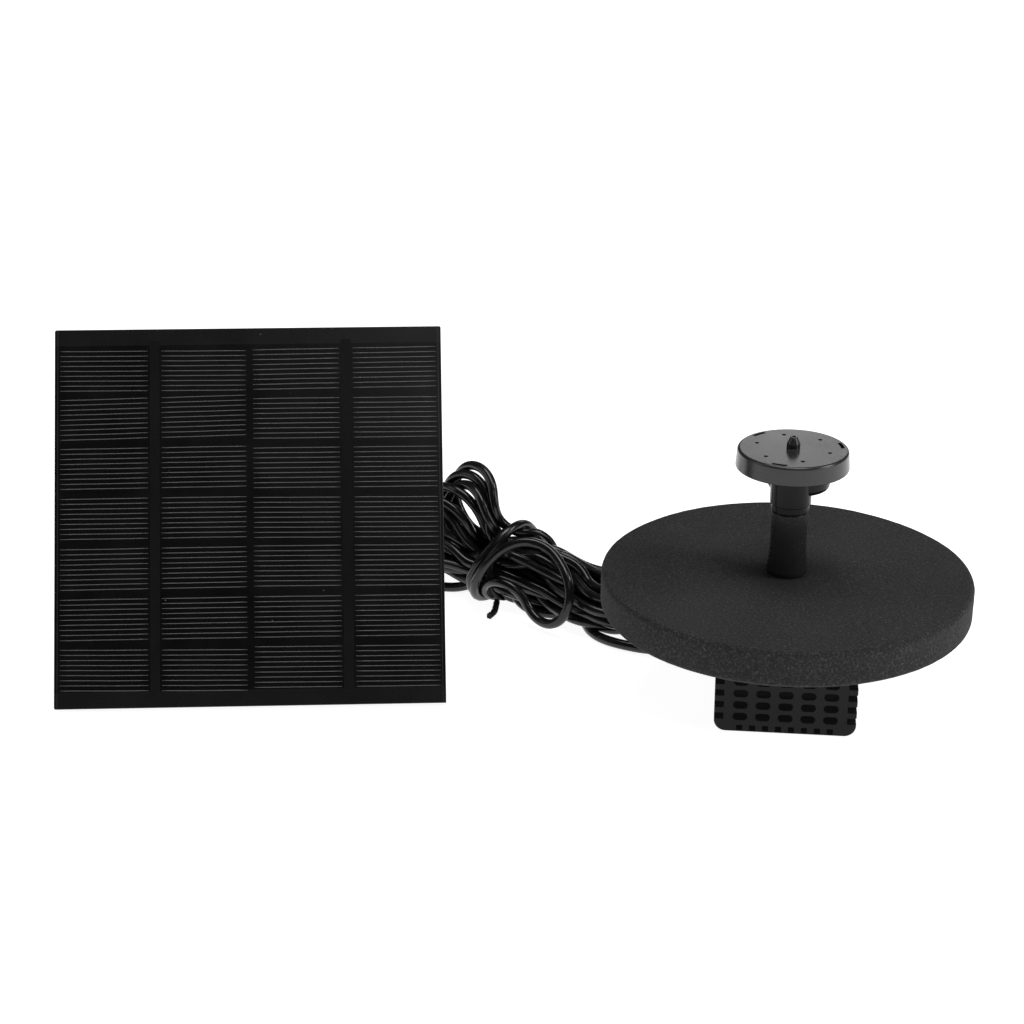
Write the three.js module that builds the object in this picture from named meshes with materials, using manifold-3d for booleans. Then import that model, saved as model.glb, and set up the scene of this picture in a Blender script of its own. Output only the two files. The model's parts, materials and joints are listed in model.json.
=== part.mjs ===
// A solar fountain kit: a square solar panel on a folding prop, a tied hank of cable, and a small
// submersible pump with a strainer cover, a foam float, and a riser that carries a spray head.
//
// Millimetres, +Z up. The panel is at -X and the pump at +X, and both face -Y.
// The origin is on the ground, in the middle of the kit without its cable.
import * as THREE from 'three';
import { mergeVertices } from 'three/addons/utils/BufferGeometryUtils.js';
import Module from 'manifold-3d';

const wasm = await Module();
wasm.setup();

// ---------------------------------------------------------------- driving dimensions

const GAP = 0.3; // clearance between neighbours that touch on the real kit
const DEGREE = Math.PI / 180;
const ROUND = 36; // segments round a large circle
const SMALL_ROUND = 16; // segments round a small circle

const PANEL = {
  width: 110,
  height: 107.8,
  board: 1.5, // thickness of the back board
  sheet: 1.3, // thickness of the front sheet at its rim
  lean: 28.5 * DEGREE, // back from upright
  yaw: 3.2 * DEGREE,
  corner: [-126.2, -15.1], // where the lower left rear corner stands, X and Y
};

const CELL = { columns: 2, rows: 7, width: 52.4, height: 13.2, pitch: 14.15, thick: 0.2, gap: 2 };

const PROP = {
  x: 48, // middle of the prop, across the panel
  pivotUp: 74, pivotBack: 5.7, length: 66, width: 22, thick: 2.4, foot: 2,
  pin: 1.2, running: 0.15, knuckle: 3,
  ear: 3.4, // thickness of the bracket's ears
  plate: { half: 9, thick: 2 }, // the bracket's base
  window: { width: 12, height: 40, corner: 3 },
};

const PUMP = {
  axis: [78.2, -6.6], // the riser's axis, X and Y
  yaw: -5 * DEGREE,
  width: 39,
  height: 30,
  centre: 1.1, // the body and motor sit this far to the right of the riser
  motorUp: 15.4, // height of the motor's shaft
  front: -19, // front of the strainer, from the riser's axis
  joint: -6.7, // where the strainer meets the housing
  rear: 22.2, // rear of the housing
  corner: 3.2,
  wall: 1.6,
};

const BAY = { radius: 13.05, front: 6.4 }; // the motor bay, open to the rear
const VOLUTE = { radius: 12.6, back: 3 };
const WELL = { radius: 6, outer: 7, end: 17.2, pocket: 2.9, pocketDepth: 1.6 };
const OUTLET = { radius: 3.7, bore: 2.7, top: 54 };
const SHAFT = { radius: 1, front: -7.6, rear: 16.4, running: 0.1 };
const STATOR = { outer: 12.7, yoke: 11, pole: 7.4, poleWidth: 3, front: 8, rear: 16, poles: 4 };
const HALL = { width: 3, from: [17.5, 8], to: [18.7, 11] }; // front to back, and out from the shaft

const FLOAT = { radius: 51.4, hole: 4.6, bottom: 30.3, top: 40.7, edge: 1.4 };
const RISER = { foot: 5.7, neck: 5, spigot: 4.2, bottom: 41, shoulder: 59, top: 67.2 };
const DISH = {
  neck: 5.65, bottom: 59.4, underside: 72.9, radius: 13.8, floor: 1.1,
  collar: { radius: 5.25, top: 61.2 },
  chamber: { radius: 8.6, bottom: 64.1, corner: 1.5, wall: 1, at: [2.1, 4.9] }, // behind the neck
};
const CAP = { radius: 15.45, topRadius: 15.05, bottom: 72, top: 77.2, wall: 1, roof: 1.4, corner: 0.7 };

const CORD = { radius: 1.5, sides: 8 };

// ---------------------------------------------------------------- materials

const COLOURS = {
  boardBlack: [0x1b1c1d, 0.6, 0],
  glossBlack: [0x0c0d0f, 0.15, 0],
  silicon: [0x101218, 0.3, 0.1],
  ribbon: [0x161616, 0.45, 0.3],
  caseBlack: [0x222222, 0.5, 0],
  headGrey: [0x3a3a3b, 0.4, 0],
  foam: [0x2e2e2e, 0.95, 0],
  cable: [0x141414, 0.3, 0],
  rubber: [0x1a1a1a, 0.8, 0],
  steel: [0x9a9da0, 0.3, 1],
  ceramic: [0xe8e6df, 0.3, 0],
  ferrite: [0x35363a, 0.6, 0.2],
  copper: [0xb3673a, 0.35, 0.9],
  lamination: [0x7d8084, 0.45, 0.9],
  board: [0x1f5a34, 0.5, 0],
  resin: [0x0e0e0e, 0.3, 0],
};

function material(name) {
  const [color, roughness, metalness] = COLOURS[name];
  return new THREE.MeshStandardMaterial({ name, color, roughness, metalness });
}

// ---------------------------------------------------------------- solids

// A closed mesh as a solid: shared corners merged, and triangles with no area dropped.
function toSolid(geometry) {
  const bare = geometry.clone();
  bare.deleteAttribute('normal');
  bare.deleteAttribute('uv');
  const merged = mergeVertices(bare, 1e-4);
  const index = merged.index.array;
  const kept = [];
  for (let i = 0; i < index.length; i += 3) {
    const [a, b, c] = [index[i], index[i + 1], index[i + 2]];
    if (a !== b && b !== c && c !== a) {
      kept.push(a, b, c);
    }
  }
  const mesh = new wasm.Mesh({
    numProp: 3,
    vertProperties: Float32Array.from(merged.attributes.position.array),
    triVerts: Uint32Array.from(kept),
  });
  return new wasm.Manifold(mesh);
}

function toGeometry(solid) {
  const { vertProperties, triVerts } = solid.getMesh();
  const geometry = new THREE.BufferGeometry();
  geometry.setAttribute('position', new THREE.BufferAttribute(vertProperties, 3));
  geometry.setIndex(new THREE.BufferAttribute(triVerts, 1));
  geometry.computeVertexNormals();
  return geometry;
}

function join(...geometries) {
  return toGeometry(geometries.map(toSolid).reduce((all, next) => all.add(next)));
}

function cut(base, ...tools) {
  return toGeometry(tools.map(toSolid).reduce((all, tool) => all.subtract(tool), toSolid(base)));
}

function common(a, b) {
  return toGeometry(toSolid(a).intersect(toSolid(b)));
}

// ---------------------------------------------------------------- shapes

function roundedRectangle(width, height, radius, centreX = 0, centreY = 0) {
  const x = width / 2 - radius;
  const y = height / 2 - radius;
  const shape = new THREE.Shape();
  const corners = [[x, -y, -90], [x, y, 0], [-x, y, 90], [-x, -y, 180]];
  for (const [cx, cy, from] of corners) {
    shape.absarc(centreX + cx, centreY + cy, radius, from * DEGREE, (from + 90) * DEGREE, false);
  }
  shape.closePath();
  return shape;
}

function extrude(shape, from, to, curveSegments = 2) {
  const depth = to - from;
  const geometry = new THREE.ExtrudeGeometry(shape, { depth, bevelEnabled: false, curveSegments });
  return geometry.translate(0, 0, from);
}

// A shape drawn in X and Z, from one Y to another.
function extrudeAlongY(shape, from, to, curveSegments) {
  return extrude(shape, -to, -from, curveSegments).rotateX(Math.PI / 2);
}

// A shape drawn in Y and Z, from one X to another.
function extrudeAlongX(shape, from, to, curveSegments) {
  const turn = new THREE.Matrix4().set(0, 0, 1, 0, 1, 0, 0, 0, 0, 1, 0, 0, 0, 0, 0, 1);
  return extrude(shape, from, to, curveSegments).applyMatrix4(turn);
}

function box(from, to) {
  const size = to.map((value, i) => value - from[i]);
  const middle = to.map((value, i) => (value + from[i]) / 2);
  return new THREE.BoxGeometry(...size).translate(...middle);
}

// A profile of [radius, height] points turned round the Y axis. Its ends join if they are off the axis.
function turned(profile, segments = ROUND) {
  const closed = profile[0][0] === 0 ? profile : [...profile, profile[0]];
  let area = 0;
  for (let i = 0; i < closed.length; i += 1) {
    const [r0, h0] = closed[i];
    const [r1, h1] = closed[(i + 1) % closed.length];
    area += r0 * h1 - r1 * h0;
  }
  const ordered = area > 0 ? closed : [...closed].reverse();
  return new THREE.LatheGeometry(ordered.map(([r, h]) => new THREE.Vector2(r, h)), segments);
}

function turnedUpright(profile, segments) {
  return turned(profile, segments).rotateX(Math.PI / 2);
}

function disc(radius, from, to) {
  return [[0, from], [radius, from], [radius, to], [0, to]];
}

function ring(inner, outer, from, to) {
  return [[inner, from], [outer, from], [outer, to], [inner, to]];
}

// The quarter circles that round a profile's corner, as [radius, height] points.
function arc(centreR, centreH, radius, fromDegrees, toDegrees, steps = 3) {
  const points = [];
  for (let i = 0; i <= steps; i += 1) {
    const angle = (fromDegrees + ((toDegrees - fromDegrees) * i) / steps) * DEGREE;
    points.push([centreR + radius * Math.cos(angle), centreH + radius * Math.sin(angle)]);
  }
  return points;
}

// Along the motor's shaft, which runs front to back through the pump.
function onShaft(profile, segments = SMALL_ROUND) {
  return turned(profile, segments).translate(PUMP.centre, 0, PUMP.motorUp);
}

// ---------------------------------------------------------------- the scene

const fountain = new THREE.Group();

function place(parent, name, geometry, colour) {
  const mesh = new THREE.Mesh(geometry, material(colour));
  mesh.name = name;
  parent.add(mesh);
  return mesh;
}

// ---------------------------------------------------------------- solar panel
// Panel frame: X along its width, Y up its slope, Z out of its face, zero at the lower left rear.

const panelTurn = new THREE.Group();
panelTurn.position.set(PANEL.corner[0], PANEL.corner[1], 0);
panelTurn.rotation.z = PANEL.yaw;
fountain.add(panelTurn);

const panel = new THREE.Group();
panel.rotation.x = Math.PI / 2 - PANEL.lean;
panelTurn.add(panel);

function makeBackBoard() {
  return box([0, 0, 0], [PANEL.width, PANEL.height, PANEL.board]);
}

// The sheet covers the cells, and its rim comes down round them to the board.
const SHEET_BACK = PANEL.board + GAP;
const SHEET_FRONT = SHEET_BACK + PANEL.sheet;
const POCKET = { rim: 0.8, depth: 0.7 };

function makeFrontSheet() {
  const { rim, depth } = POCKET;
  const sheet = box([0, 0, SHEET_BACK], [PANEL.width, PANEL.height, SHEET_FRONT]);
  const pocket = box(
    [rim, rim, SHEET_BACK - 1],
    [PANEL.width - rim, PANEL.height - rim, SHEET_BACK + depth],
  );
  return cut(sheet, pocket);
}

function cellBox(column, row) {
  const left = (PANEL.width - CELL.columns * CELL.width - CELL.gap) / 2;
  const bottom = (PANEL.height - CELL.rows * CELL.pitch + (CELL.pitch - CELL.height)) / 2;
  const x = left + column * (CELL.width + CELL.gap);
  const y = bottom + row * CELL.pitch;
  return box([x, y, SHEET_BACK], [x + CELL.width, y + CELL.height, SHEET_BACK + CELL.thick]);
}

const RIBBON = { width: 3.6, end: 4.5, thick: 0.15, clear: 0.15 };

function ribbonBox(column) {
  const { width, end, thick, clear } = RIBBON;
  const middle = PANEL.width / 2 + (column - 0.5) * (CELL.width + CELL.gap);
  const low = SHEET_BACK + CELL.thick + clear;
  return box([middle - width / 2, end, low], [middle + width / 2, PANEL.height - end, low + thick]);
}

place(panel, 'panel_backboard', makeBackBoard(), 'boardBlack');
place(panel, 'panel_front_sheet', makeFrontSheet(), 'glossBlack');
for (let row = 0; row < CELL.rows; row += 1) {
  for (let column = 0; column < CELL.columns; column += 1) {
    const number = String(row * CELL.columns + column + 1).padStart(2, '0');
    place(panel, `solar_cell_${number}`, cellBox(column, row), 'silicon');
  }
}
place(panel, 'cell_ribbon_left', ribbonBox(0), 'ribbon');
place(panel, 'cell_ribbon_right', ribbonBox(1), 'ribbon');

// ---------------------------------------------------------------- junction box on the panel's back

const JUNCTION = {
  x: 80, y: 93, width: 32, height: 18, depth: 7, corner: 2,
  lid: 1.6,
  bay: { width: 18, height: 13, deep: 3.8, corner: 1 },
};
const SCREW = { fromEnd: 3.2, head: 2, shank: 0.9, tip: 0.4, long: 4.8, blindHole: 1.15, hole: 1.25 };
const JUNCTION_BACK = -GAP - JUNCTION.depth; // the box's open side, from the back of the board

function junctionOutline() {
  const { x, y, width, height, corner } = JUNCTION;
  return roundedRectangle(width, height, corner, x, y);
}

function screwPlaces() {
  const reach = JUNCTION.width / 2 - SCREW.fromEnd;
  return [JUNCTION.x - reach, JUNCTION.x + reach];
}

function makeJunctionBox() {
  const { bay } = JUNCTION;
  const shell = extrude(junctionOutline(), JUNCTION_BACK, -GAP);
  const mouth = roundedRectangle(bay.width, bay.height, bay.corner, JUNCTION.x, JUNCTION.y);
  const pocket = extrude(mouth, JUNCTION_BACK - 1, JUNCTION_BACK + bay.deep);
  const hole = disc(SCREW.blindHole, JUNCTION_BACK - 1, JUNCTION_BACK + 4);
  const holes = screwPlaces().map((x) => turnedUpright(hole, 12).translate(x, JUNCTION.y, 0));
  return cut(shell, pocket, ...holes);
}

function makeJunctionLid() {
  const top = JUNCTION_BACK - GAP;
  const plate = extrude(junctionOutline(), top - JUNCTION.lid, top);
  const hole = disc(SCREW.hole, top - JUNCTION.lid - 1, top + 1);
  const holes = screwPlaces().map((x) => turnedUpright(hole, 12).translate(x, JUNCTION.y, 0));
  return cut(plate, ...holes);
}

// A self-tapping screw: a domed head on the lid and a plain shank into the box.
function makeJunctionScrew(x) {
  const { head, shank, tip, long } = SCREW;
  const seat = JUNCTION_BACK - GAP - JUNCTION.lid - 0.2;
  const profile = [
    [0, seat - 1], [0.7 * head, seat - 0.8], [head, seat - 0.2], [head, seat],
    [shank, seat], [shank, seat + long - 0.8], [tip, seat + long], [0, seat + long],
  ];
  return turnedUpright(profile, 16).translate(x, JUNCTION.y, 0);
}

// The diode that keeps the battery side from feeding the cells at night, lying in the bay.
function makeDiode() {
  const middle = JUNCTION_BACK + JUNCTION.bay.deep / 2;
  const [body, wire, end, reach] = [1.3, 0.35, 2.3, 6];
  const profile = [
    [0, -reach], [wire, -reach], [wire, -end], [body, -end],
    [body, end], [wire, end], [wire, reach], [0, reach],
  ];
  return turned(profile, 12).rotateZ(Math.PI / 2).translate(JUNCTION.x, JUNCTION.y, middle);
}

// A rubber boot under the box, pointing down the panel, that the cable hangs out of.
function makePanelGland() {
  const top = JUNCTION.y - JUNCTION.height / 2 - GAP;
  const [collar, collarLong, root, tip, long] = [2.9, 1.4, 2.3, 1.9, 9.5];
  const profile = [
    [0, top], [collar, top], [collar, top - collarLong],
    [root, top - collarLong], [tip, top - long], [0, top - long],
  ];
  return turned(profile, SMALL_ROUND).translate(JUNCTION.x, 0, -GAP - JUNCTION.depth / 2);
}

place(panel, 'junction_box', makeJunctionBox(), 'caseBlack');
place(panel, 'junction_lid', makeJunctionLid(), 'caseBlack');
screwPlaces().forEach((x, i) => {
  place(panel, `junction_screw_${i + 1}`, makeJunctionScrew(x), 'steel');
});
place(panel, 'blocking_diode', makeDiode(), 'resin');
place(panel, 'panel_cable_gland', makePanelGland(), 'rubber');

// ---------------------------------------------------------------- folding prop behind the panel

const pivotHeight = PROP.pivotUp * Math.cos(PANEL.lean) - PROP.pivotBack * Math.sin(PANEL.lean);
const legFromDown = Math.acos((pivotHeight - PROP.foot - 0.1) / PROP.length);
const legAngle = legFromDown + PANEL.lean; // away from the panel's back when opened

function makePropBracket() {
  const { x, pivotUp, pivotBack, knuckle, ear } = PROP;
  const half = PROP.width / 2 + GAP + ear;
  const back = -GAP - PROP.plate.thick;
  const plate = box(
    [x - half, pivotUp - PROP.plate.half, back],
    [x + half, pivotUp + PROP.plate.half, -GAP],
  );
  const side = new THREE.Shape();
  side.moveTo(pivotUp - 2 * knuckle, back + 0.5);
  side.lineTo(pivotUp - knuckle, -pivotBack);
  side.absarc(pivotUp, -pivotBack, knuckle, Math.PI, 2 * Math.PI, false);
  side.lineTo(pivotUp + 2 * knuckle, back + 0.5);
  side.closePath();
  const left = extrudeAlongX(side, x - half, x - half + ear);
  const right = extrudeAlongX(side, x + half - ear, x + half);
  const bore = turned(disc(PROP.pin + PROP.running, x - half - 1, x + half + 1), SMALL_ROUND)
    .rotateZ(-Math.PI / 2)
    .translate(0, pivotUp, -pivotBack);
  return cut(join(plate, left, right), bore);
}

function makePropPin() {
  const half = PROP.width / 2 + PROP.ear + GAP;
  const head = { radius: 2, from: -half - 1.2, to: -half - 0.2 };
  const profile = [
    [0, head.from], [head.radius, head.from], [head.radius, head.to], [PROP.pin, head.to],
    [PROP.pin, half + 0.6], [PROP.pin - 0.4, half + 1], [0, half + 1],
  ];
  return turned(profile, SMALL_ROUND)
    .rotateZ(-Math.PI / 2)
    .translate(PROP.x, PROP.pivotUp, -PROP.pivotBack);
}

// The leg lies along -Y from its pivot before it is opened.
function makePropLeg() {
  const half = PROP.width / 2;
  const { window, thick } = PROP;
  const knuckle = turned(disc(PROP.knuckle, -half, half), SMALL_ROUND).rotateZ(-Math.PI / 2);
  const foot = turned(disc(PROP.foot, -half, half), SMALL_ROUND)
    .rotateZ(-Math.PI / 2)
    .translate(0, -PROP.length, 0);
  const plate = box([-half, -PROP.length, -thick / 2], [half, 0, thick / 2]);
  const opening = roundedRectangle(window.width, window.height, window.corner, 0, -PROP.length / 2);
  const bore = turned(disc(PROP.pin + PROP.running, -half - 1, half + 1), SMALL_ROUND);
  return cut(join(plate, knuckle, foot), extrude(opening, -thick, thick), bore.rotateZ(-Math.PI / 2));
}

place(panel, 'prop_bracket', makePropBracket(), 'caseBlack');
place(panel, 'prop_pin', makePropPin(), 'steel');
const leg = place(panel, 'prop_leg', makePropLeg(), 'caseBlack');
leg.position.set(PROP.x, PROP.pivotUp, -PROP.pivotBack);
leg.rotation.x = legAngle;

// ---------------------------------------------------------------- pump
// Pump frame: X to its right, Y from front to back, zero on the ground under the riser.

const pump = new THREE.Group();
pump.position.set(PUMP.axis[0], PUMP.axis[1], 0);
pump.rotation.z = PUMP.yaw;
fountain.add(pump);

function pumpOutline(inset, radius = PUMP.corner - inset) {
  const width = PUMP.width - 2 * inset;
  const height = PUMP.height - 2 * inset;
  return roundedRectangle(width, height, radius, PUMP.centre, PUMP.height / 2);
}

const GRILLE = {
  columns: 5, columnPitch: 6.19, rows: 7, rowPitch: 3.55, firstRow: 4.7, slot: [4.1, 2.3],
  sideNotch: { width: 2.6, height: 1.9 },
  lowNotch: { count: 8, pitch: 3.55, width: 1.7, from: 0.45, to: 2.1 },
  notchBack: 4.4, // how far the notches run back from the face
};

function slotShape(x, z) {
  const [width, height] = GRILLE.slot;
  const radius = height / 2;
  const reach = width / 2 - radius;
  const shape = new THREE.Shape();
  shape.absarc(x + reach, z, radius, -Math.PI / 2, Math.PI / 2, false);
  shape.absarc(x - reach, z, radius, Math.PI / 2, (3 * Math.PI) / 2, false);
  shape.closePath();
  return shape;
}

// An open-backed cover: rows of slots in its face, notches round its side edges, and a row of
// notches in its face just above its lower edge.
function makeStrainerCover() {
  const outer = extrudeAlongY(pumpOutline(0), PUMP.front, PUMP.joint);
  const inner = extrudeAlongY(pumpOutline(PUMP.wall), PUMP.front + PUMP.wall, PUMP.joint + 1);
  const tools = [inner];
  const deep = PUMP.front + PUMP.wall + 0.6;
  const notchBack = PUMP.front + GRILLE.notchBack;
  const side = PUMP.width / 2;
  const { sideNotch, lowNotch } = GRILLE;
  for (let row = 0; row < GRILLE.rows; row += 1) {
    const z = GRILLE.firstRow + row * GRILLE.rowPitch;
    for (let column = 0; column < GRILLE.columns; column += 1) {
      const x = PUMP.centre + (column - (GRILLE.columns - 1) / 2) * GRILLE.columnPitch;
      tools.push(extrudeAlongY(slotShape(x, z), PUMP.front - 1, deep, 1));
    }
    const [low, high] = [z - sideNotch.height / 2, z + sideNotch.height / 2];
    const [left, right] = [PUMP.centre - side, PUMP.centre + side];
    tools.push(
      box([left - 1, PUMP.front - 1, low], [left + sideNotch.width, notchBack, high]),
      box([right - sideNotch.width, PUMP.front - 1, low], [right + 1, notchBack, high]),
    );
  }
  for (let i = 0; i < lowNotch.count; i += 1) {
    const left = PUMP.centre + (i - (lowNotch.count - 1) / 2) * lowNotch.pitch - lowNotch.width / 2;
    tools.push(box([left, PUMP.front - 1, lowNotch.from], [left + lowNotch.width, notchBack, lowNotch.to]));
  }
  return cut(outer, ...tools);
}

// The housing: volute in front, motor bay behind, and between them the closed well of the rotor.
function makeHousing() {
  const { joint, rear, wall } = PUMP;
  const block = extrudeAlongY(pumpOutline(0), joint + GAP, rear);
  const spigot = extrudeAlongY(pumpOutline(wall + GAP), joint - 3, joint + 1);
  const stack = turnedUpright(disc(OUTLET.radius, PUMP.height - 3, OUTLET.top), SMALL_ROUND);
  const volute = onShaft(disc(VOLUTE.radius, joint - 4, VOLUTE.back), ROUND);
  const well = onShaft(disc(WELL.radius, VOLUTE.back - 1, WELL.end - WELL.pocketDepth));
  const pocket = onShaft(disc(WELL.pocket, VOLUTE.back, WELL.end));
  const bay = onShaft(ring(WELL.outer, BAY.radius, BAY.front, rear + 1), ROUND);
  const bayEnd = onShaft(disc(BAY.radius, WELL.end + 1.4, rear + 1), ROUND);
  const bore = turnedUpright(disc(OUTLET.bore, PUMP.motorUp + 6, OUTLET.top + 1), SMALL_ROUND);
  return cut(join(block, spigot, stack), volute, well, pocket, bay, bayEnd, bore);
}

place(pump, 'strainer_cover', makeStrainerCover(), 'caseBlack');
place(pump, 'pump_housing', makeHousing(), 'caseBlack');

// The volute's front plate: a ring, an inlet with three spokes, and a hub that holds the shaft.
const PLATE = {
  radius: 12.3, front: -9, back: -7, skirt: 10.6, skirtWall: 1.4, skirtBack: -5, inlet: 6, hub: 3,
  hubBack: -5.8, seat: 2.2, spoke: 1.6,
};
const O_RING = { radius: 11.6, section: 0.8, at: -6 };
const IMPELLER = { blades: 6, blade: 1.2, tip: 9.3, disc: 9.5, thick: 1.2, hub: 3.2 };
const MAGNET = { outer: 5.5, rear: 15.1 };

function makeImpellerCover() {
  const flange = onShaft(ring(PLATE.inlet, PLATE.radius, PLATE.front, PLATE.back), ROUND);
  const inSkirt = PLATE.skirt - PLATE.skirtWall;
  const skirt = onShaft(ring(inSkirt, PLATE.skirt, PLATE.back - 0.5, PLATE.skirtBack), ROUND);
  const hub = onShaft(disc(PLATE.hub, PLATE.front, PLATE.hubBack));
  const half = PLATE.spoke / 2;
  const spokes = [0, 1, 2].map((i) => (
    box([-half, PLATE.front, PLATE.hub - 1], [half, PLATE.back, PLATE.inlet + 1])
      .rotateY((i * 2 * Math.PI) / 3)
      .translate(PUMP.centre, 0, PUMP.motorUp)
  ));
  const seat = onShaft(disc(PLATE.seat, PLATE.back - 1, PLATE.hubBack + 1));
  return cut(join(flange, skirt, hub, ...spokes), seat);
}

function makeORing() {
  return onShaft(arc(O_RING.radius, O_RING.at, O_RING.section, 0, 300, 5), ROUND);
}

// Straight blades on a disc, with a hub that runs on the shaft.
function makeImpeller() {
  const back = VOLUTE.back - 2 * GAP;
  const bladeFront = PLATE.skirtBack + 0.8;
  const plate = onShaft(disc(IMPELLER.disc, back - IMPELLER.thick, back));
  const hub = onShaft(disc(IMPELLER.hub, bladeFront, back));
  const half = IMPELLER.blade / 2;
  const blades = [];
  for (let i = 0; i < IMPELLER.blades; i += 1) {
    const blade = box([-half, bladeFront, SHAFT.radius], [half, back, IMPELLER.tip]);
    const turn = (i * 2 * Math.PI) / IMPELLER.blades;
    blades.push(blade.rotateY(turn).translate(PUMP.centre, 0, PUMP.motorUp));
  }
  const bore = onShaft(disc(SHAFT.radius + SHAFT.running, bladeFront - 1, back + 1));
  return cut(join(plate, hub, ...blades), bore);
}

const magnet = ring(SHAFT.radius + SHAFT.running, MAGNET.outer, VOLUTE.back - GAP, MAGNET.rear);
const SEATS = { bore: 1.2, front: [1.9, -7.7, -6.2], rear: [2.6, 15.4, 16.9] }; // radius, from, to

place(pump, 'impeller_cover', makeImpellerCover(), 'caseBlack');
place(pump, 'cover_o_ring', makeORing(), 'rubber');
place(pump, 'impeller', makeImpeller(), 'headGrey');
place(pump, 'rotor_magnet', onShaft(magnet), 'ferrite');
place(pump, 'pump_shaft', onShaft(disc(SHAFT.radius, SHAFT.front, SHAFT.rear)), 'ceramic');
place(pump, 'front_shaft_seat', onShaft(ring(SEATS.bore, ...SEATS.front)), 'rubber');
place(pump, 'rear_shaft_seat', onShaft(ring(SEATS.bore, ...SEATS.rear)), 'rubber');

// ---------------------------------------------------------------- motor

// A ring with four poles that point in at the rotor's well.
function makeStator() {
  const yoke = onShaft(ring(STATOR.yoke, STATOR.outer, STATOR.front, STATOR.rear), ROUND);
  const half = STATOR.poleWidth / 2;
  const poles = [];
  for (let i = 0; i < STATOR.poles; i += 1) {
    const pole = box([-half, STATOR.front, STATOR.pole], [half, STATOR.rear, STATOR.yoke + 0.5]);
    poles.push(pole.rotateY((i * 2 * Math.PI) / STATOR.poles));
  }
  return join(yoke, ...poles.map((pole) => pole.translate(PUMP.centre, 0, PUMP.motorUp)));
}

const COIL = { clear: 0.25, side: 1.4, end: 0.95, front: 0.5, back: 2.8 };

// A winding round one pole: a rounded ring as deep as the pole is long.
function makeCoil(index) {
  const middle = (STATOR.front + STATOR.rear) / 2;
  const width = STATOR.poleWidth + 2 * COIL.clear;
  const length = STATOR.rear - STATOR.front + 2 * COIL.clear;
  const outer = roundedRectangle(width + 2 * COIL.side, length + 2 * COIL.end, COIL.side, 0, middle);
  outer.holes.push(roundedRectangle(width, length, 0.2, 0, middle));
  return extrude(outer, STATOR.pole + COIL.front, STATOR.pole + COIL.back)
    .rotateY((index * 2 * Math.PI) / STATOR.poles)
    .translate(PUMP.centre, 0, PUMP.motorUp);
}

const CABLE_PASS = { x: -7, z: 9.4, radius: 2.9, inResin: 1.8 };
const DRIVER = { radius: 12.7, front: 19, back: 20 };
const POTTING = { front: 20.4, back: 22 };

function cablePass(from, to, radius) {
  return turned(disc(radius, from, to), SMALL_ROUND).translate(CABLE_PASS.x, 0, CABLE_PASS.z);
}

function makeHallSensor() {
  return box([-HALL.width / 2, ...HALL.from], [HALL.width / 2, ...HALL.to])
    .rotateY(45 * DEGREE)
    .translate(PUMP.centre, 0, PUMP.motorUp);
}

place(pump, 'stator_core', makeStator(), 'lamination');
for (let i = 0; i < STATOR.poles; i += 1) {
  place(pump, `stator_coil_${i + 1}`, makeCoil(i), 'copper');
}
place(pump, 'driver_board', onShaft(disc(DRIVER.radius, DRIVER.front, DRIVER.back)), 'board');
place(pump, 'hall_sensor', makeHallSensor(), 'resin');

// Resin over the board, with a hole where the cable's cores come through.
function makePotting() {
  const { front, back } = POTTING;
  return cut(onShaft(disc(DRIVER.radius, front, back)), cablePass(front - 1, back + 1, CABLE_PASS.inResin));
}

const COVER_FRONT = PUMP.rear + GAP;
const COVER_BACK = COVER_FRONT + 1.6;

function makeRearCover() {
  const plate = extrudeAlongY(pumpOutline(0), COVER_FRONT, COVER_BACK);
  return cut(plate, cablePass(COVER_FRONT - 1, COVER_BACK + 1, CABLE_PASS.radius));
}

// A rubber boot in the rear cover, pointing back, that the cable lies out of.
function makePumpGland() {
  const [plug, collar, root, tip, long] = [2.6, 3.4, 2.5, 1.9, 10];
  const collarFront = COVER_BACK + GAP;
  const collarBack = collarFront + 1.1;
  const profile = [
    [0, COVER_FRONT], [plug, COVER_FRONT], [plug, collarFront], [collar, collarFront],
    [collar, collarBack], [root, collarBack], [tip, COVER_BACK + long], [0, COVER_BACK + long],
  ];
  return turned(profile, SMALL_ROUND).translate(CABLE_PASS.x, 0, CABLE_PASS.z);
}

place(pump, 'potting_resin', makePotting(), 'resin');
place(pump, 'rear_cover', makeRearCover(), 'caseBlack');
place(pump, 'pump_cable_gland', makePumpGland(), 'rubber');

// ---------------------------------------------------------------- float, riser and spray head

function makeFloat() {
  const { radius, hole, bottom, top, edge } = FLOAT;
  const profile = [
    [hole, bottom],
    ...arc(radius - edge, bottom + edge, edge, -90, 0),
    ...arc(radius - edge, top - edge, edge, 0, 90),
    [hole, top],
  ];
  return turnedUpright(profile, 48);
}

// A tube that flares at its foot, and steps in at the top to a spigot for the spray head.
function makeRiser() {
  const { foot, neck, spigot, bottom, shoulder, top } = RISER;
  const socket = OUTLET.radius + 0.25;
  const profile = [
    [socket, bottom], [foot, bottom], [foot, bottom + 0.9], [foot - 0.28, bottom + 2.5],
    [neck + 0.12, bottom + 9], [neck, shoulder], [spigot, shoulder], [spigot, top],
    [OUTLET.bore, top], [OUTLET.bore, OUTLET.top + 2.4], [socket, OUTLET.top + 0.6],
  ];
  return turnedUpright(profile, 32);
}

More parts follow.
